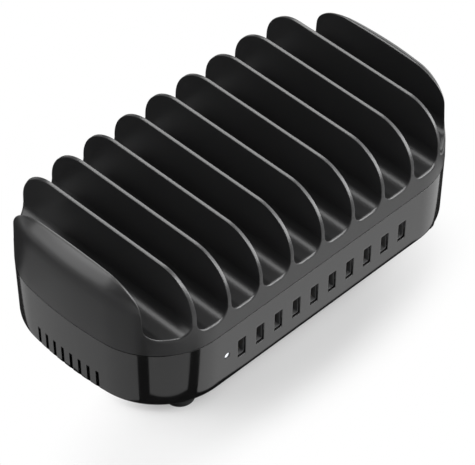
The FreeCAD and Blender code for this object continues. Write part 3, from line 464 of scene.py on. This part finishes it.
def outline_columns(front_x, rear_x, end_y):
    """Plan points and outward directions all the way round, with chosen columns on the straight and end walls."""
    turn = spread(math.pi / 2, JOIN, CORNER_COLUMNS)[1:-1]
    ends = np.concatenate([np.sin(spread(-JOIN, JOIN, END_COLUMNS)) * END, end_y])
    end_angle = np.arcsin(np.unique(np.round(ends, PLAN_DIGITS)) / END)
    corner = stack(CORNER_X + CORNER * np.cos(turn), CORNER_Y + CORNER * np.sin(turn), 0)
    corner_out = stack(np.cos(turn), np.sin(turn), 0)
    end = stack(END * np.cos(end_angle) - END_CENTRE, END * np.sin(end_angle), 0)
    end_out = stack(np.cos(end_angle), np.sin(end_angle), 0)
    front = stack(np.concatenate([[-CORNER_X], front_x, [CORNER_X]]), -HALF_DEPTH, 0)
    rear = stack(np.concatenate([[CORNER_X], rear_x[::-1], [-CORNER_X]]), HALF_DEPTH, 0)
    ahead = np.array([0, 1.0, 0])
    flip_y, flip_x = np.array([1, -1, 1]), np.array([-1, 1, 1])
    points = [front, corner * flip_y, end, corner[::-1], rear, corner * flip_x, end[::-1] * flip_x,
              corner[::-1] * flip_x * flip_y, front[:1]]
    outs = [front * 0 - ahead, corner_out * flip_y, end_out, corner_out[::-1], rear * 0 + ahead,
            corner_out * flip_x, end_out[::-1] * flip_x, corner_out[::-1] * flip_x * flip_y, front[:1] * 0 - ahead]
    return np.concatenate(points), np.concatenate(outs)


def band_inset(z):
    """How far the band's leaning wall lies inside the seam's outline at a height."""
    return (SEAM_Z - z) * math.tan(BAND_TAPER)


def band_rows(levels):
    """Height and inset of the band's rows: soft upper edge, leaning wall, round lower edge, underside."""
    top = SEAM_Z - SEAM_HEIGHT
    edge = spread(0, math.pi / 2, EDGE_ROWS)
    z = [SEAM_Z, top, *(top - BAND_EDGE * (1 - np.cos(edge)))]
    depth = [SEAM_DEPTH, SEAM_DEPTH, *(band_inset(top - BAND_EDGE) + BAND_EDGE * (1 - np.sin(edge)))]
    centre = BAND_LOW_Z + BAND_ROUND
    axis = band_inset(centre) + BAND_ROUND / math.cos(BAND_TAPER)
    z += [*levels]
    depth += [*(band_inset(level) for level in levels)]
    turn = spread(BAND_TAPER, math.pi / 2, BAND_ROUND_ROWS)
    z += [*(centre - BAND_ROUND * np.sin(turn))]
    depth += [*(axis - BAND_ROUND * np.cos(turn))]
    return np.array(z), np.array(depth)


def rounded_loop(x, z, width, height, radius):
    """A rounded rectangle about a centre, from its lower left corner anticlockwise, closed."""
    turn = spread(0, math.pi / 2, LOOP_CORNER_POINTS)
    corners = [(-1, -1, math.pi), (1, -1, 1.5 * math.pi), (1, 1, 0), (-1, 1, 0.5 * math.pi)]
    loop_x = [x + sx * (width / 2 - radius) + radius * np.cos(start + turn) for sx, sz, start in corners]
    loop_z = [z + sz * (height / 2 - radius) + radius * np.sin(start + turn) for sx, sz, start in corners]
    loop_x, loop_z = np.concatenate(loop_x), np.concatenate(loop_z)
    return np.append(loop_x, loop_x[0]), np.append(loop_z, loop_z[0])


def opening_sheet(x, z, width, height, radius, margin, depth, side):
    """An opening in the front (side -1) or rear (side 1) wall: the flat surround, a soft edge and the inner walls.

    The loops are rounded rectangles that shrink from the surround to the opening, then run inwards.
    """
    bend = spread(0, math.pi / 2, EDGE_ROWS)
    loops = [rounded_loop(x, z, width + 2 * margin, height + 2 * margin, SHARP)]
    loops += [rounded_loop(x, z, width + 2 * out, height + 2 * out, radius + out)
              for out in PORT_EDGE * (1 - np.sin(bend))]
    loops.append(loops[-1])
    sink = np.array([0, *(PORT_EDGE * (1 - np.cos(bend))), depth])[:, None]
    loop_x = np.stack([loop[0] for loop in loops])
    loop_z = np.stack([loop[1] for loop in loops])
    face = side * (HALF_DEPTH - band_inset(loop_z))
    points = stack(loop_x, face - side * sink, loop_z)
    return sheet(points, stack(x - loop_x, side * FACE_WEIGHT, z - loop_z))


def lower_housing(material):
    """The band with its round lower edge and underside, and holes for sockets, light, cooling slots and recess."""
    port_boxes = [node_box("usb_shell_" + port) for port in PORTS]
    port_x = np.array([(low[0] + high[0]) / 2 for low, high in port_boxes])
    low, high = port_boxes[0]
    port_z = (low[2] + high[2]) / 2
    port_width = high[0] - low[0] + 2 * SHELL_ROOM[0]
    port_height = high[2] - low[2] + 2 * SHELL_ROOM[1]
    pipe_low, pipe_high = node_box("light_pipe")
    light_x = (pipe_low[0] + pipe_high[0]) / 2
    light_z = (pipe_low[2] + pipe_high[2]) / 2
    light_width = LIGHT_WIDTH + 2 * PANEL_GAP
    inlet_low, inlet_high = node_box("inlet_body")
    switch_low, switch_high = node_box("switch_body")
    recess_x = ((inlet_low[0] + inlet_high[0]) / 2 + (switch_low[0] + switch_high[0]) / 2) / 2
    recess_z = (inlet_low[2] + inlet_high[2]) / 2

    half_port = port_width / 2 + PORT_MARGIN
    half_tall = port_height / 2 + PORT_MARGIN
    half_recess = np.array([RECESS_WIDTH, RECESS_HEIGHT]) / 2 + RECESS_MARGIN
    holes_x = np.append(port_x, light_x)
    front_x = np.sort(np.concatenate([holes_x - half_port, holes_x + half_port]))
    rear_x = np.array([recess_x - half_recess[0], recess_x + half_recess[0]])
    vent_y = VENT_PITCH * (np.arange(VENTS) - (VENTS - 1) / 2)
    vent_lines = np.sort(np.concatenate([vent_y - VENT_WIDTH / 2, vent_y + VENT_WIDTH / 2]))
    plan_points, outs = outline_columns(front_x, rear_x, vent_lines)
    levels = np.array([SEAM_Z - SEAM_HEIGHT - 2 * BAND_EDGE, recess_z + half_recess[1], port_z + half_tall,
                       VENT_TOP_Z, port_z - half_tall, recess_z - half_recess[1]])
    z, depth = band_rows(levels)
    points = plan_points - outs * depth[:, None, None] + stack(0, 0, z)[:, None]

    middle = (plan_points[:-1] + plan_points[1:]) / 2
    row_z = (z[:-1] + z[1:]) / 2
    beside = np.abs(middle[:, :1] - holes_x).min(1) < half_port
    at_ports = (middle[:, 1] < -HALF_DEPTH + ON_FACE) & beside
    at_recess = (middle[:, 1] > HALF_DEPTH - ON_FACE) & (np.abs(middle[:, 0] - recess_x) < half_recess[0])
    at_vents = (np.abs(middle[:, 1:2] - vent_y).min(1) < VENT_WIDTH / 2) & (np.abs(middle[:, 0]) > CORNER_X)
    hole = at_ports & (np.abs(row_z - port_z) < half_tall)[:, None]
    hole |= at_recess & (np.abs(row_z - recess_z) < half_recess[1])[:, None]
    hole |= at_vents & ((row_z < VENT_TOP_Z) & (row_z > VENT_LOW_Z))[:, None]
    wall = sheet(points, outs + np.array([0, 0, -0.2]), ~hole)
    to_middle = np.array([[1.0], [0.0]])
    under = stack(points[-1, :, 0] * to_middle, points[-1, :, 1] * to_middle, BAND_LOW_Z)

    groups = [[wall, sheet(under, (0, 0, -1))]]
    for x in port_x:
        groups.append([opening_sheet(x, port_z, port_width, port_height, PORT_CORNER, PORT_MARGIN, WALL, -1)])
    panel = rounded_loop(light_x, port_z, 2 * half_port, 2 * half_tall, SHARP)
    groups.append([light_surround(panel, light_x, light_z, light_width)])
    groups.append([opening_sheet(recess_x, recess_z, RECESS_WIDTH, RECESS_HEIGHT, RECESS_CORNER, RECESS_MARGIN,
                                 RECESS_DEPTH, 1)])
    groups.append([recess_floor(recess_x, recess_z, (inlet_low, inlet_high), (switch_low, switch_high))])
    groups += vent_groups(points, z, vent_lines)
    piece("lower_housing", groups, material, ["base_housing"])


def light_surround(outer, x, z, width):
    """Flat surround of the light's round hole: loops that go from the panel's rectangle to a circle, then inwards."""
    rings = [width + 4 * PORT_EDGE, width + 2 * PORT_EDGE, width + PORT_EDGE, width, width, width]
    loops = [outer] + [rounded_loop(x, z, ring, ring, ring / 2 - SHARP) for ring in rings]
    loop_x = np.stack([loop[0] for loop in loops])
    loop_z = np.stack([loop[1] for loop in loops])
    sink = np.array([0, 0, 0, 0, PORT_EDGE / 2, PORT_EDGE, WALL])[:, None]
    points = stack(loop_x, -(HALF_DEPTH - band_inset(loop_z)) + sink, loop_z)
    return sheet(points, stack(x - loop_x, -FACE_WEIGHT, z - loop_z))


def recess_floor(x, z, inlet, switch):
    """The recess's flat floor: a grid of lines with the cells behind inlet and switch left out."""
    lines_x = np.array([x - RECESS_WIDTH / 2, inlet[0][0] + INLET_LAP, inlet[1][0] - INLET_LAP,
                        switch[0][0] + SWITCH_LAP, switch[1][0] - SWITCH_LAP, x + RECESS_WIDTH / 2])
    lines_z = np.sort([z - RECESS_HEIGHT / 2, inlet[0][2] + INLET_LAP, inlet[1][2] - INLET_LAP,
                       switch[0][2] + SWITCH_LAP, switch[1][2] - SWITCH_LAP, z + RECESS_HEIGHT / 2])
    grid = stack(lines_x[:, None], HALF_DEPTH - RECESS_DEPTH, lines_z)
    keep = np.ones((5, 5), bool)
    keep[1::2, 1:4] = False
    return sheet(grid, (0, 1, 0), keep)


def vent_groups(points, z, lines):
    """Side walls, top and floor of every cooling slot: the band's own profile at a slot's edge, carried inwards."""
    groups = []
    row_z = (z[:-1] + z[1:]) / 2
    open_rows = np.flatnonzero((row_z < VENT_TOP_Z) & (row_z > VENT_LOW_Z))
    heights = np.append(open_rows, open_rows[-1] + 1)
    for end in (-1, 1):
        on_end = points[0, :, 0] * end >= CORNER_X
        for number, line in enumerate(lines):
            column = np.argmin(np.where(on_end, np.abs(points[0, :, 1] - line), np.inf))
            profile = points[heights, column]
            inward = profile - np.array([end * WALL, 0, 0])
            first_side = number % 2 == 0
            groups.append([sheet(np.stack([profile, inward]), (0, 1 if first_side else -1, 0))])
            if first_side:
                for place, facing in ((profile[0], -1), (profile[-1], 1)):
                    across = stack(place[0] - end * np.array([0, WALL])[:, None],
                                   place[1] + np.array([0, VENT_WIDTH]), place[2])
                    groups.append([sheet(across, (0, 0, facing))])
    return groups


# Small round pieces


def turned_piece(name, centre, axis, profile, material, replaced):
    """A solid of revolution: a profile of (radius, height along the axis) carried round a circle."""
    turn = spread(0, 2 * math.pi, RING_COLUMNS)[:, None]
    radius, height = np.array(profile).T
    along = np.array(axis, float)
    side = np.array([1.0, 0, 0])
    other = np.cross(along, side)
    ring = np.cos(turn)[..., None] * side + np.sin(turn)[..., None] * other
    points = np.array(centre) + ring * radius[:, None] + along * height[:, None]
    slope = np.gradient(height)[:, None]
    outward = ring * slope - along * np.gradient(radius)[:, None]
    piece(name, [[sheet(points, outward)]], material, replaced)


def foot_profile(radius, tall):
    """Sole, a soft lower edge and an upright side, from the centre outwards and up."""
    bend = spread(0, math.pi / 2, FOOT_EDGE_POINTS)
    edge = [(radius - FOOT_ROUND + FOOT_ROUND * math.sin(a), FOOT_ROUND - FOOT_ROUND * math.cos(a)) for a in bend]
    top = tall - FOOT_CLEARANCE
    return [(0, 0), (radius - 2 * FOOT_ROUND, 0), *edge, (radius, top), (0, top)]


def make_feet(material):
    """A turned foot in the place of each CAD foot."""
    for corner in ("front_left", "front_right", "rear_left", "rear_right"):
        node = "foot_" + corner
        low, high = node_box(node)
        centre = ((low[0] + high[0]) / 2, (low[1] + high[1]) / 2, low[2])
        profile = foot_profile((high[0] - low[0]) / 2, high[2] - low[2])
        turned_piece("rubber_" + node, centre, (0, 0, 1), profile, material, [node])


def make_light(material):
    """The light pipe's shallow dome in its hole, with its stem behind."""
    low, high = node_box("light_pipe")
    radius = LIGHT_WIDTH / 2
    bend = spread(0, math.pi / 2, LIGHT_DOME_POINTS)
    dome_edge = [(radius * math.sin(a), LIGHT_DOME * (1 - math.cos(a))) for a in bend]
    stem = high[1] - low[1] - LIGHT_STEM_CUT
    profile = [*dome_edge, (radius, stem), (0, stem)]
    centre = ((low[0] + high[0]) / 2, low[1], (low[2] + high[2]) / 2)
    turned_piece("status_light", centre, (0, 1, 0), profile, material, ["light_pipe"])


# Materials


class Value:
    """A shader socket that takes part in Python sums: each operator adds its Math node."""

    def __init__(self, tree, socket):
        self.tree = tree
        self.socket = socket

    def _math(self, operation, first, second):
        return self.tree.node("ShaderNodeMath", {"operation": operation}, {0: first, 1: second}, "Value")

    def __add__(self, other):
        return self._math("ADD", self, other)

    def __radd__(self, other):
        return self._math("ADD", other, self)

    def __mul__(self, other):
        return self._math("MULTIPLY", self, other)

    def __rmul__(self, other):
        return self._math("MULTIPLY", other, self)


class Finish:
    """A material with one surface shader, and a method that adds any node."""

    def __init__(self, name, **uniform):
        self.material = bpy.data.materials.new(name)
        self.material.use_nodes = True
        self.nodes = self.material.node_tree.nodes
        self.links = self.material.node_tree.links
        self.shader = self.nodes["Principled BSDF"]
        for socket, value in uniform.items():
            self.shader.inputs[socket.replace("_", " ").title().replace("Ior", "IOR")].default_value = value

    def node(self, kind, settings, values, output):
        """Adds a node of a type, with its settings first and then its sockets' values or links."""
        made = self.nodes.new(kind)
        for name, setting in settings.items():
            setattr(made, name, setting)
        for name, value in values.items():
            self.feed(made.inputs[name], value)
        return Value(self, made.outputs[output])

    def feed(self, socket, value):
        """Links a value to a socket, or sets the socket's own number."""
        if isinstance(value, Value):
            self.links.new(value.socket, socket)
        else:
            socket.default_value = value

    def place(self):
        """The place on the piece."""
        return self.node("ShaderNodeTexCoord", {}, {}, "Object")

    def noise(self, scale, detail=2.0, stretch=(1, 1, 1)):
        """Noise over the piece, finer along the axes with the larger stretch."""
        where = self.node("ShaderNodeMapping", {}, {"Vector": self.place(), "Scale": stretch}, "Vector")
        return self.node("ShaderNodeTexNoise", {}, {"Vector": where, "Scale": scale, "Detail": detail}, "Fac")

    def mix(self, share, first, second):
        """A colour between two, by share."""
        return self.node("ShaderNodeMix", {"data_type": "RGBA"}, {0: share, 6: (*first, 1), 7: (*second, 1)}, 2)

    def set(self, socket, value):
        """Feeds a socket of the surface shader."""
        self.feed(self.shader.inputs[socket], value)

    def bump(self, height, strength, distance):
        """Small relief from a height, with its distance in metres."""
        self.set("Normal", self.node("ShaderNodeBump", {}, {"Height": height, "Strength": strength,
                                                            "Distance": distance}, "Normal"))


def matte_black():
    """Spark-eroded black plastic: fine grain in the surface, slightly uneven sheen."""
    finish = Finish("matte_black_plastic", roughness=0.55)
    grain = finish.noise(scale=2600.0, detail=3.0)
    cloud = finish.noise(scale=35.0)
    finish.set("Base Color", finish.mix(cloud, (0.01, 0.01, 0.0105), (0.014, 0.014, 0.0145)))
    finish.set("Roughness", 0.28 + 0.08 * grain + 0.04 * cloud)
    finish.bump(grain, strength=0.25, distance=0.00006)
    return finish.material


def gloss_black():
    """Polished black plastic with the faint waviness of a moulding."""
    finish = Finish("gloss_black_plastic", roughness=0.1, ior=1.6)
    wave = finish.noise(scale=18.0, detail=1.0)
    dust = finish.noise(scale=900.0, detail=4.0)
    finish.set("Base Color", finish.mix(wave, (0.004, 0.004, 0.0042), (0.006, 0.006, 0.0062)))
    finish.set("Roughness", 0.07 + 0.05 * dust + 0.03 * wave)
    finish.bump(wave, strength=0.08, distance=0.0004)
    return finish.material


def rubber_black():
    """Dull black rubber with a coarse grain."""
    finish = Finish("black_rubber", roughness=0.8, specular_ior_level=0.2)
    grain = finish.noise(scale=1500.0, detail=4.0)
    finish.set("Base Color", finish.mix(grain, (0.007, 0.007, 0.007), (0.014, 0.014, 0.014)))
    finish.bump(grain, strength=0.3, distance=0.0001)
    return finish.material


def moulded(name, dark, light, roughness):
    """Plain moulded plastic or enamel with a fine, slightly cloudy surface."""
    finish = Finish(name, roughness=roughness)
    cloud = finish.noise(scale=600.0, detail=3.0)
    finish.set("Base Color", finish.mix(cloud, dark, light))
    finish.set("Roughness", roughness + 0.12 * cloud)
    finish.bump(cloud, strength=0.12, distance=0.00005)
    return finish.material


def drawn_metal(name, dark, light, roughness):
    """Rolled or plated metal with fine lines along X."""
    finish = Finish(name, metallic=1.0, roughness=roughness)
    lines = finish.noise(scale=260.0, detail=4.0, stretch=(1, 12, 12))
    finish.set("Base Color", finish.mix(lines, dark, light))
    finish.set("Roughness", roughness + 0.15 * lines)
    finish.bump(lines, strength=0.1, distance=0.00003)
    return finish.material


def light_white():
    """Milky light pipe, faintly lit from behind."""
    finish = Finish("milky_light_pipe", roughness=0.25)
    cloud = finish.noise(scale=700.0)
    finish.set("Base Color", finish.mix(cloud, (0.86, 0.87, 0.88), (0.94, 0.94, 0.94)))
    finish.set("Roughness", 0.2 + 0.1 * cloud)
    finish.set("Emission Color", (0.9, 0.95, 1.0, 1))
    finish.set("Emission Strength", 0.5)
    return finish.material


def dress_nodes(finishes):
    """Gives every CAD node the finish of its material slot."""
    for entry in frame["record"]["subparts"]:
        obj = frame["nodes"][entry["node"]]
        obj.data.materials.clear()
        obj.data.materials.append(finishes[entry["material_slot"]])


finishes = {
    "top_black": matte_black(),
    "band_gloss_black": gloss_black(),
    "foot_rubber": rubber_black(),
    "light_white": light_white(),
    "screw_steel": drawn_metal("zinc_plated_steel", (0.45, 0.45, 0.46), (0.62, 0.62, 0.63), 0.35),
    # Socket shell steel is made darker than plated steel: painted shade for the inside of the socket openings.
    "shell_steel": drawn_metal("socket_steel_darkened_for_shade", (0.14, 0.14, 0.142), (0.2, 0.2, 0.202), 0.4),
    "contact_gold": drawn_metal("plated_contacts", (0.72, 0.5, 0.18), (0.85, 0.64, 0.28), 0.25),
    "pin_brass": drawn_metal("plated_brass", (0.62, 0.5, 0.28), (0.78, 0.66, 0.4), 0.3),
    "sink_aluminium": drawn_metal("extruded_aluminium", (0.62, 0.63, 0.64), (0.76, 0.77, 0.78), 0.4),
    "tongue_plastic": moulded("socket_tongue", (0.26, 0.26, 0.265), (0.34, 0.34, 0.345), 0.5),
    "inlet_black": moulded("inlet_plastic", (0.013, 0.013, 0.014), (0.022, 0.022, 0.023), 0.4),
    "rocker_black": moulded("rocker_plastic", (0.015, 0.015, 0.016), (0.026, 0.026, 0.027), 0.32),
    "board_green": moulded("circuit_board", (0.02, 0.12, 0.045), (0.035, 0.18, 0.07), 0.4),
    "fuse_glass": moulded("fuse_tube", (0.7, 0.72, 0.73), (0.85, 0.87, 0.88), 0.2),
    "film_box_yellow": moulded("film_capacitor", (0.65, 0.45, 0.06), (0.78, 0.57, 0.1), 0.4),
    "winding_copper": moulded("enamelled_winding", (0.35, 0.14, 0.05), (0.5, 0.23, 0.09), 0.35),
    "can_sleeve": moulded("capacitor_sleeve", (0.02, 0.02, 0.04), (0.04, 0.04, 0.06), 0.35),
    "ferrite": moulded("ferrite", (0.05, 0.05, 0.055), (0.08, 0.08, 0.085), 0.7),
    "winding_tape": moulded("winding_tape", (0.62, 0.46, 0.07), (0.75, 0.6, 0.13), 0.45),
    "lead_insulation": moulded("lead_insulation", (0.02, 0.02, 0.02), (0.035, 0.035, 0.035), 0.6),
}
dress_nodes(finishes)
upper_housing(finishes["top_black"])
lower_housing(finishes["band_gloss_black"])
make_feet(finishes["foot_rubber"])
make_light(finishes["light_white"])

# Studio: camera and cards in millimetres, lamps and floor in metres
AZIMUTH = math.radians(-44.867)
ELEVATION = math.radians(44.506)
TOWARD_CAMERA = np.array([math.sin(AZIMUTH) * math.cos(ELEVATION), -math.cos(AZIMUTH) * math.cos(ELEVATION),
                          math.sin(ELEVATION)])
CAMERA_AIM = (0, 0, 6.4)
CAMERA_DISTANCE = 1900.8
CAMERA_RIGHT = 2.58
CAMERA_UP = 10.45
CAMERA_SENSOR = 36.0
CAMERA_LENS = 238.7
CAMERA_CLIP = 50.0
WORLD_LEVEL = 0.2
LAMP_AIM = (0, 0, 0.05)
FLOOR_HALF = 20.0
SHADE_CENTRE = (-0.055, -0.075)
SHADE_HALF = (0.16, 0.05)
CARD_LIFT = 0.3
CARD_REACH = 90.0
CARD_GAP = 3.6
SIDE_CARD_REACH = 60.0
SIDE_CARD_GAP = 6.0
SIDE_CARD_FAR = (48.0, 10.0)
CORNER_CARD_REACH = 58.0
CORNER_CARD_GAP = 12.0
FRONT_CARD_GAP = 7.0
FRONT_CARD_START = 30.0
FRONT_CARD_Y = -300.0
FAR_CARD_X = -900.0
FAR_CARD_Y = (450.0, -300.0)
TABLE_NEAR = 55.0
TABLE_FAR = 300.0
ARCH_RADIUS = 2000.0
ARCH_POINTS = 9
TOP_CARD_FACING = (0, -0.5, 0.87)
TOP_CARD_DISTANCE = 1500.0
TOP_CARD_HALF = 420.0


def studio_floor():
    """A large pale floor that reads as white to the camera and in reflections, and still takes the shadow.

    The glow is painted light that varies by place: its share is smaller in an oval along the station's front, where
    the shadow is deepest, and grows outwards, where the glow paints the shadow away.
    """
    mesh = bpy.data.meshes.new("studio_floor")
    corners = [(i * FLOOR_HALF, j * FLOOR_HALF, 0) for i, j in ((-1, -1), (1, -1), (1, 1), (-1, 1))]
    mesh.from_pydata(corners, [], [(0, 1, 2, 3)])
    floor = bpy.data.objects.new("studio_floor", mesh)
    bpy.context.scene.collection.objects.link(floor)
    finish = Finish("pale_floor", roughness=0.9)
    grain = finish.noise(scale=40.0)
    finish.set("Base Color", finish.mix(grain, (0.78, 0.78, 0.78), (0.8, 0.8, 0.8)))
    path = finish.nodes.new("ShaderNodeLightPath")
    camera, glossy, passed = (Value(finish, path.outputs[f"Is {kind} Ray"])
                              for kind in ("Camera", "Glossy", "Transmission"))
    (centre_x, centre_y), (half_x, half_y) = SHADE_CENTRE, SHADE_HALF
    zone = finish.node("ShaderNodeVectorMath", {"operation": "MULTIPLY_ADD"},
                       {0: finish.place(), 1: (1 / half_x, 1 / half_y, 0),
                        2: (-centre_x / half_x, -centre_y / half_y, 0)}, "Vector")
    away = finish.node("ShaderNodeVectorMath", {"operation": "LENGTH"}, {0: zone}, "Value")
    # Painted light: the glow's share grows with distance from the oval, so the floor's shadow is painted lighter
    # further from the front.
    share = finish.node("ShaderNodeMapRange", {"interpolation_type": "SMOOTHSTEP"},
                        {"Value": away, "From Min": 0.45, "From Max": 1.2, "To Min": 0.34, "To Max": 1.0}, "Result")
    glow = finish.nodes.new("ShaderNodeEmission")
    mixed = finish.nodes.new("ShaderNodeMixShader")
    finish.feed(mixed.inputs["Fac"], share * (camera + glossy + passed))
    finish.links.new(finish.shader.outputs[0], mixed.inputs[1])
    finish.links.new(glow.outputs[0], mixed.inputs[2])
    finish.links.new(mixed.outputs[0], finish.nodes["Material Output"].inputs["Surface"])
    mesh.materials.append(finish.material)


def card(name, corners, level, faces=None):
    """A sheet that only glossy rays see."""
    mesh = bpy.data.meshes.new(name)
    mesh.from_pydata((np.array(corners) * MM).tolist(), [], faces or [list(range(len(corners)))])
    material = bpy.data.materials.new(name)
    material.use_nodes = True
    material.node_tree.nodes.clear()
    glow = material.node_tree.nodes.new("ShaderNodeEmission")
    glow.inputs["Strength"].default_value = level
    end = material.node_tree.nodes.new("ShaderNodeOutputMaterial")
    material.node_tree.links.new(glow.outputs[0], end.inputs["Surface"])
    mesh.materials.append(material)
    obj = bpy.data.objects.new(name, mesh)
    bpy.context.scene.collection.objects.link(obj)
    obj.visible_camera = False
    obj.visible_diffuse = False
    obj.visible_shadow = False


def mirrored_floor(turn, side_x, side_y=-1, gap=CARD_GAP, far=CARD_REACH):
    """Where a polished corner meets the table at a turn of its outline, and how far the table it mirrors goes.

    The near point lies a gap outside the corner's circle. The far point follows the level direction to the camera,
    mirrored about the corner's outward direction.
    """
    angle = math.radians(turn)
    out = np.array([math.cos(angle), math.sin(angle), 0])
    toward = TOWARD_CAMERA * (1, 1, 0)
    near = np.array([side_x * CORNER_X, side_y * CORNER_Y, CARD_LIFT]) + out * (CORNER + gap)
    return near, near + (2 * (out @ toward) * out - toward) * far


def reflection_cards():
    """Grey and black cards flat on the table round the station, which only show in its polished band."""
    rear_near, rear_far = mirrored_floor(turn=153.0, side_x=-1, side_y=1, far=SIDE_CARD_REACH)
    first_near, first_far = mirrored_floor(turn=210.5, side_x=-1, gap=SIDE_CARD_GAP, far=SIDE_CARD_REACH)
    panel_near, panel_far = mirrored_floor(turn=218.5, side_x=-1, gap=CORNER_CARD_GAP, far=CORNER_CARD_REACH)
    panel_end, panel_end_far = mirrored_floor(turn=250.5, side_x=-1, gap=CORNER_CARD_GAP, far=CORNER_CARD_REACH)
    front_near, front_far = mirrored_floor(turn=257.5, side_x=-1, gap=FRONT_CARD_GAP)
    right_near, right_far = mirrored_floor(turn=298.0, side_x=1)
    left_far = (-HALF_LENGTH - SIDE_CARD_FAR[0], HALF_DEPTH - SIDE_CARD_FAR[1], CARD_LIFT)
    card("left_card", [first_far, first_near, (-HALF_LENGTH - CARD_GAP, 0, CARD_LIFT), rear_near, rear_far,
                       left_far], level=0.58)
    far_left = [(FAR_CARD_X, y, CARD_LIFT) for y in FAR_CARD_Y]
    card("far_left_card", [first_far, left_far, rear_far, *far_left], level=0.36)
    card("corner_card", [panel_near, panel_end, panel_end_far, panel_far], level=0.62)
    face = -HALF_DEPTH - CARD_GAP
    card("front_card", [front_near, (-CORNER_X + FRONT_CARD_START, face, CARD_LIFT), (CORNER_X, face, CARD_LIFT),
                        right_near, right_far, (CORNER_X, FRONT_CARD_Y, CARD_LIFT), front_far], level=0.95)
    left, right = -HALF_LENGTH - TABLE_FAR, HALF_LENGTH + TABLE_NEAR
    front, rear = -HALF_DEPTH - TABLE_NEAR, HALF_DEPTH + TABLE_FAR
    lift = CARD_LIFT / 2
    card("table_card", [(-HALF_LENGTH - TABLE_NEAR, front, lift), (right, front, lift), (right, rear, lift),
                        (left, rear, lift), (left, 0, lift)], level=0.03)


def light_arch(name, first, last, left, right, level):
    """A strip light bent over the front right, where the dividers' edges mirror it from their tops to their feet.

    Its middle line takes the mirror direction of an edge that turns from upright to forwards.
    """
    turn = np.radians(spread(first, last, ARCH_POINTS))
    facing = stack(0, -np.cos(turn), np.sin(turn))
    middle = ARCH_RADIUS * (2 * (facing @ TOWARD_CAMERA)[:, None] * facing - TOWARD_CAMERA)
    across = unit(np.cross(np.gradient(middle, axis=0), middle))
    points = np.concatenate([middle - across * left, middle + across * right])
    faces = [(i, i + 1, i + 1 + ARCH_POINTS, i + ARCH_POINTS) for i in range(ARCH_POINTS - 1)]
    card(name, points, level, faces)


def front_top_card():
    """A square card above the front, which the slots' front edges and the end walls' edges mirror."""
    facing = unit(np.array(TOP_CARD_FACING))
    across = np.array([1.0, 0, 0])
    along = np.cross(facing, across)
    corners = [TOP_CARD_DISTANCE * facing + TOP_CARD_HALF * (i * across + j * along)
               for i, j in ((-1, -1), (1, -1), (1, 1), (-1, 1))]
    card("front_top_card", corners, level=12.0)


def put(obj, right, up, back, place):
    """Puts a lamp or camera at a place in metres, with its own axes along three directions."""
    matrix = np.eye(4)
    matrix[:3] = np.stack([right, up, back, place], -1)
    obj.matrix_world = Matrix(matrix.tolist())


def area_light(name, place, width, height, power):
    """A soft rectangular lamp that looks at the station's middle."""
    lamp = bpy.data.lights.new(name, "AREA")
    lamp.shape = "RECTANGLE"
    lamp.size = width
    lamp.size_y = height
    lamp.energy = power
    obj = bpy.data.objects.new(name, lamp)
    bpy.context.scene.collection.objects.link(obj)
    back = unit(np.array(place) - np.array(LAMP_AIM))
    right = unit(np.cross((0, 0, 1), back))
    put(obj, right, np.cross(back, right), back, place)


def studio_world():
    """Faint, even white light from all sides."""
    world = bpy.data.worlds.new("studio")
    bpy.context.scene.world = world
    world.use_nodes = True
    world.node_tree.nodes["Background"].inputs["Color"].default_value = (1, 1, 1, 1)
    world.node_tree.nodes["Background"].inputs["Strength"].default_value = WORLD_LEVEL


def photo_camera():
    """A long lens from the front left, above: the direction, distance and centring that the view needs."""
    right = np.array([math.cos(AZIMUTH), math.sin(AZIMUTH), 0])
    up = np.cross(TOWARD_CAMERA, right)
    place = np.array(CAMERA_AIM) + CAMERA_DISTANCE * TOWARD_CAMERA + CAMERA_RIGHT * right + CAMERA_UP * up
    camera = bpy.data.cameras.new("photo_camera")
    camera.sensor_width = CAMERA_SENSOR
    camera.lens = CAMERA_LENS
    camera.clip_end = CAMERA_CLIP
    obj = bpy.data.objects.new("photo_camera", camera)
    bpy.context.scene.collection.objects.link(obj)
    put(obj, right, up, TOWARD_CAMERA, place * MM)
    bpy.context.scene.camera = obj


studio_floor()
studio_world()
reflection_cards()
light_arch("lower_arch", first=24, last=52, left=450.0, right=1600.0, level=9.8)
light_arch("upper_arch", first=52, last=76, left=400.0, right=1000.0, level=4.0)
front_top_card()
area_light("top_light", place=(-0.6, 0.8, 1.75), width=1.1, height=1.1, power=18.0)
area_light("rear_right_light", place=(1.15, 1.15, 1.6), width=1.2, height=1.2, power=32.0)
area_light("left_light", place=(-1.5, 1.0, 1.0), width=1.3, height=1.6, power=19.0)
area_light("front_fill", place=(0.4, -1.5, 1.6), width=1.6, height=1.6, power=22.0)
photo_camera()
bpy.context.scene.view_settings.view_transform = "Standard"
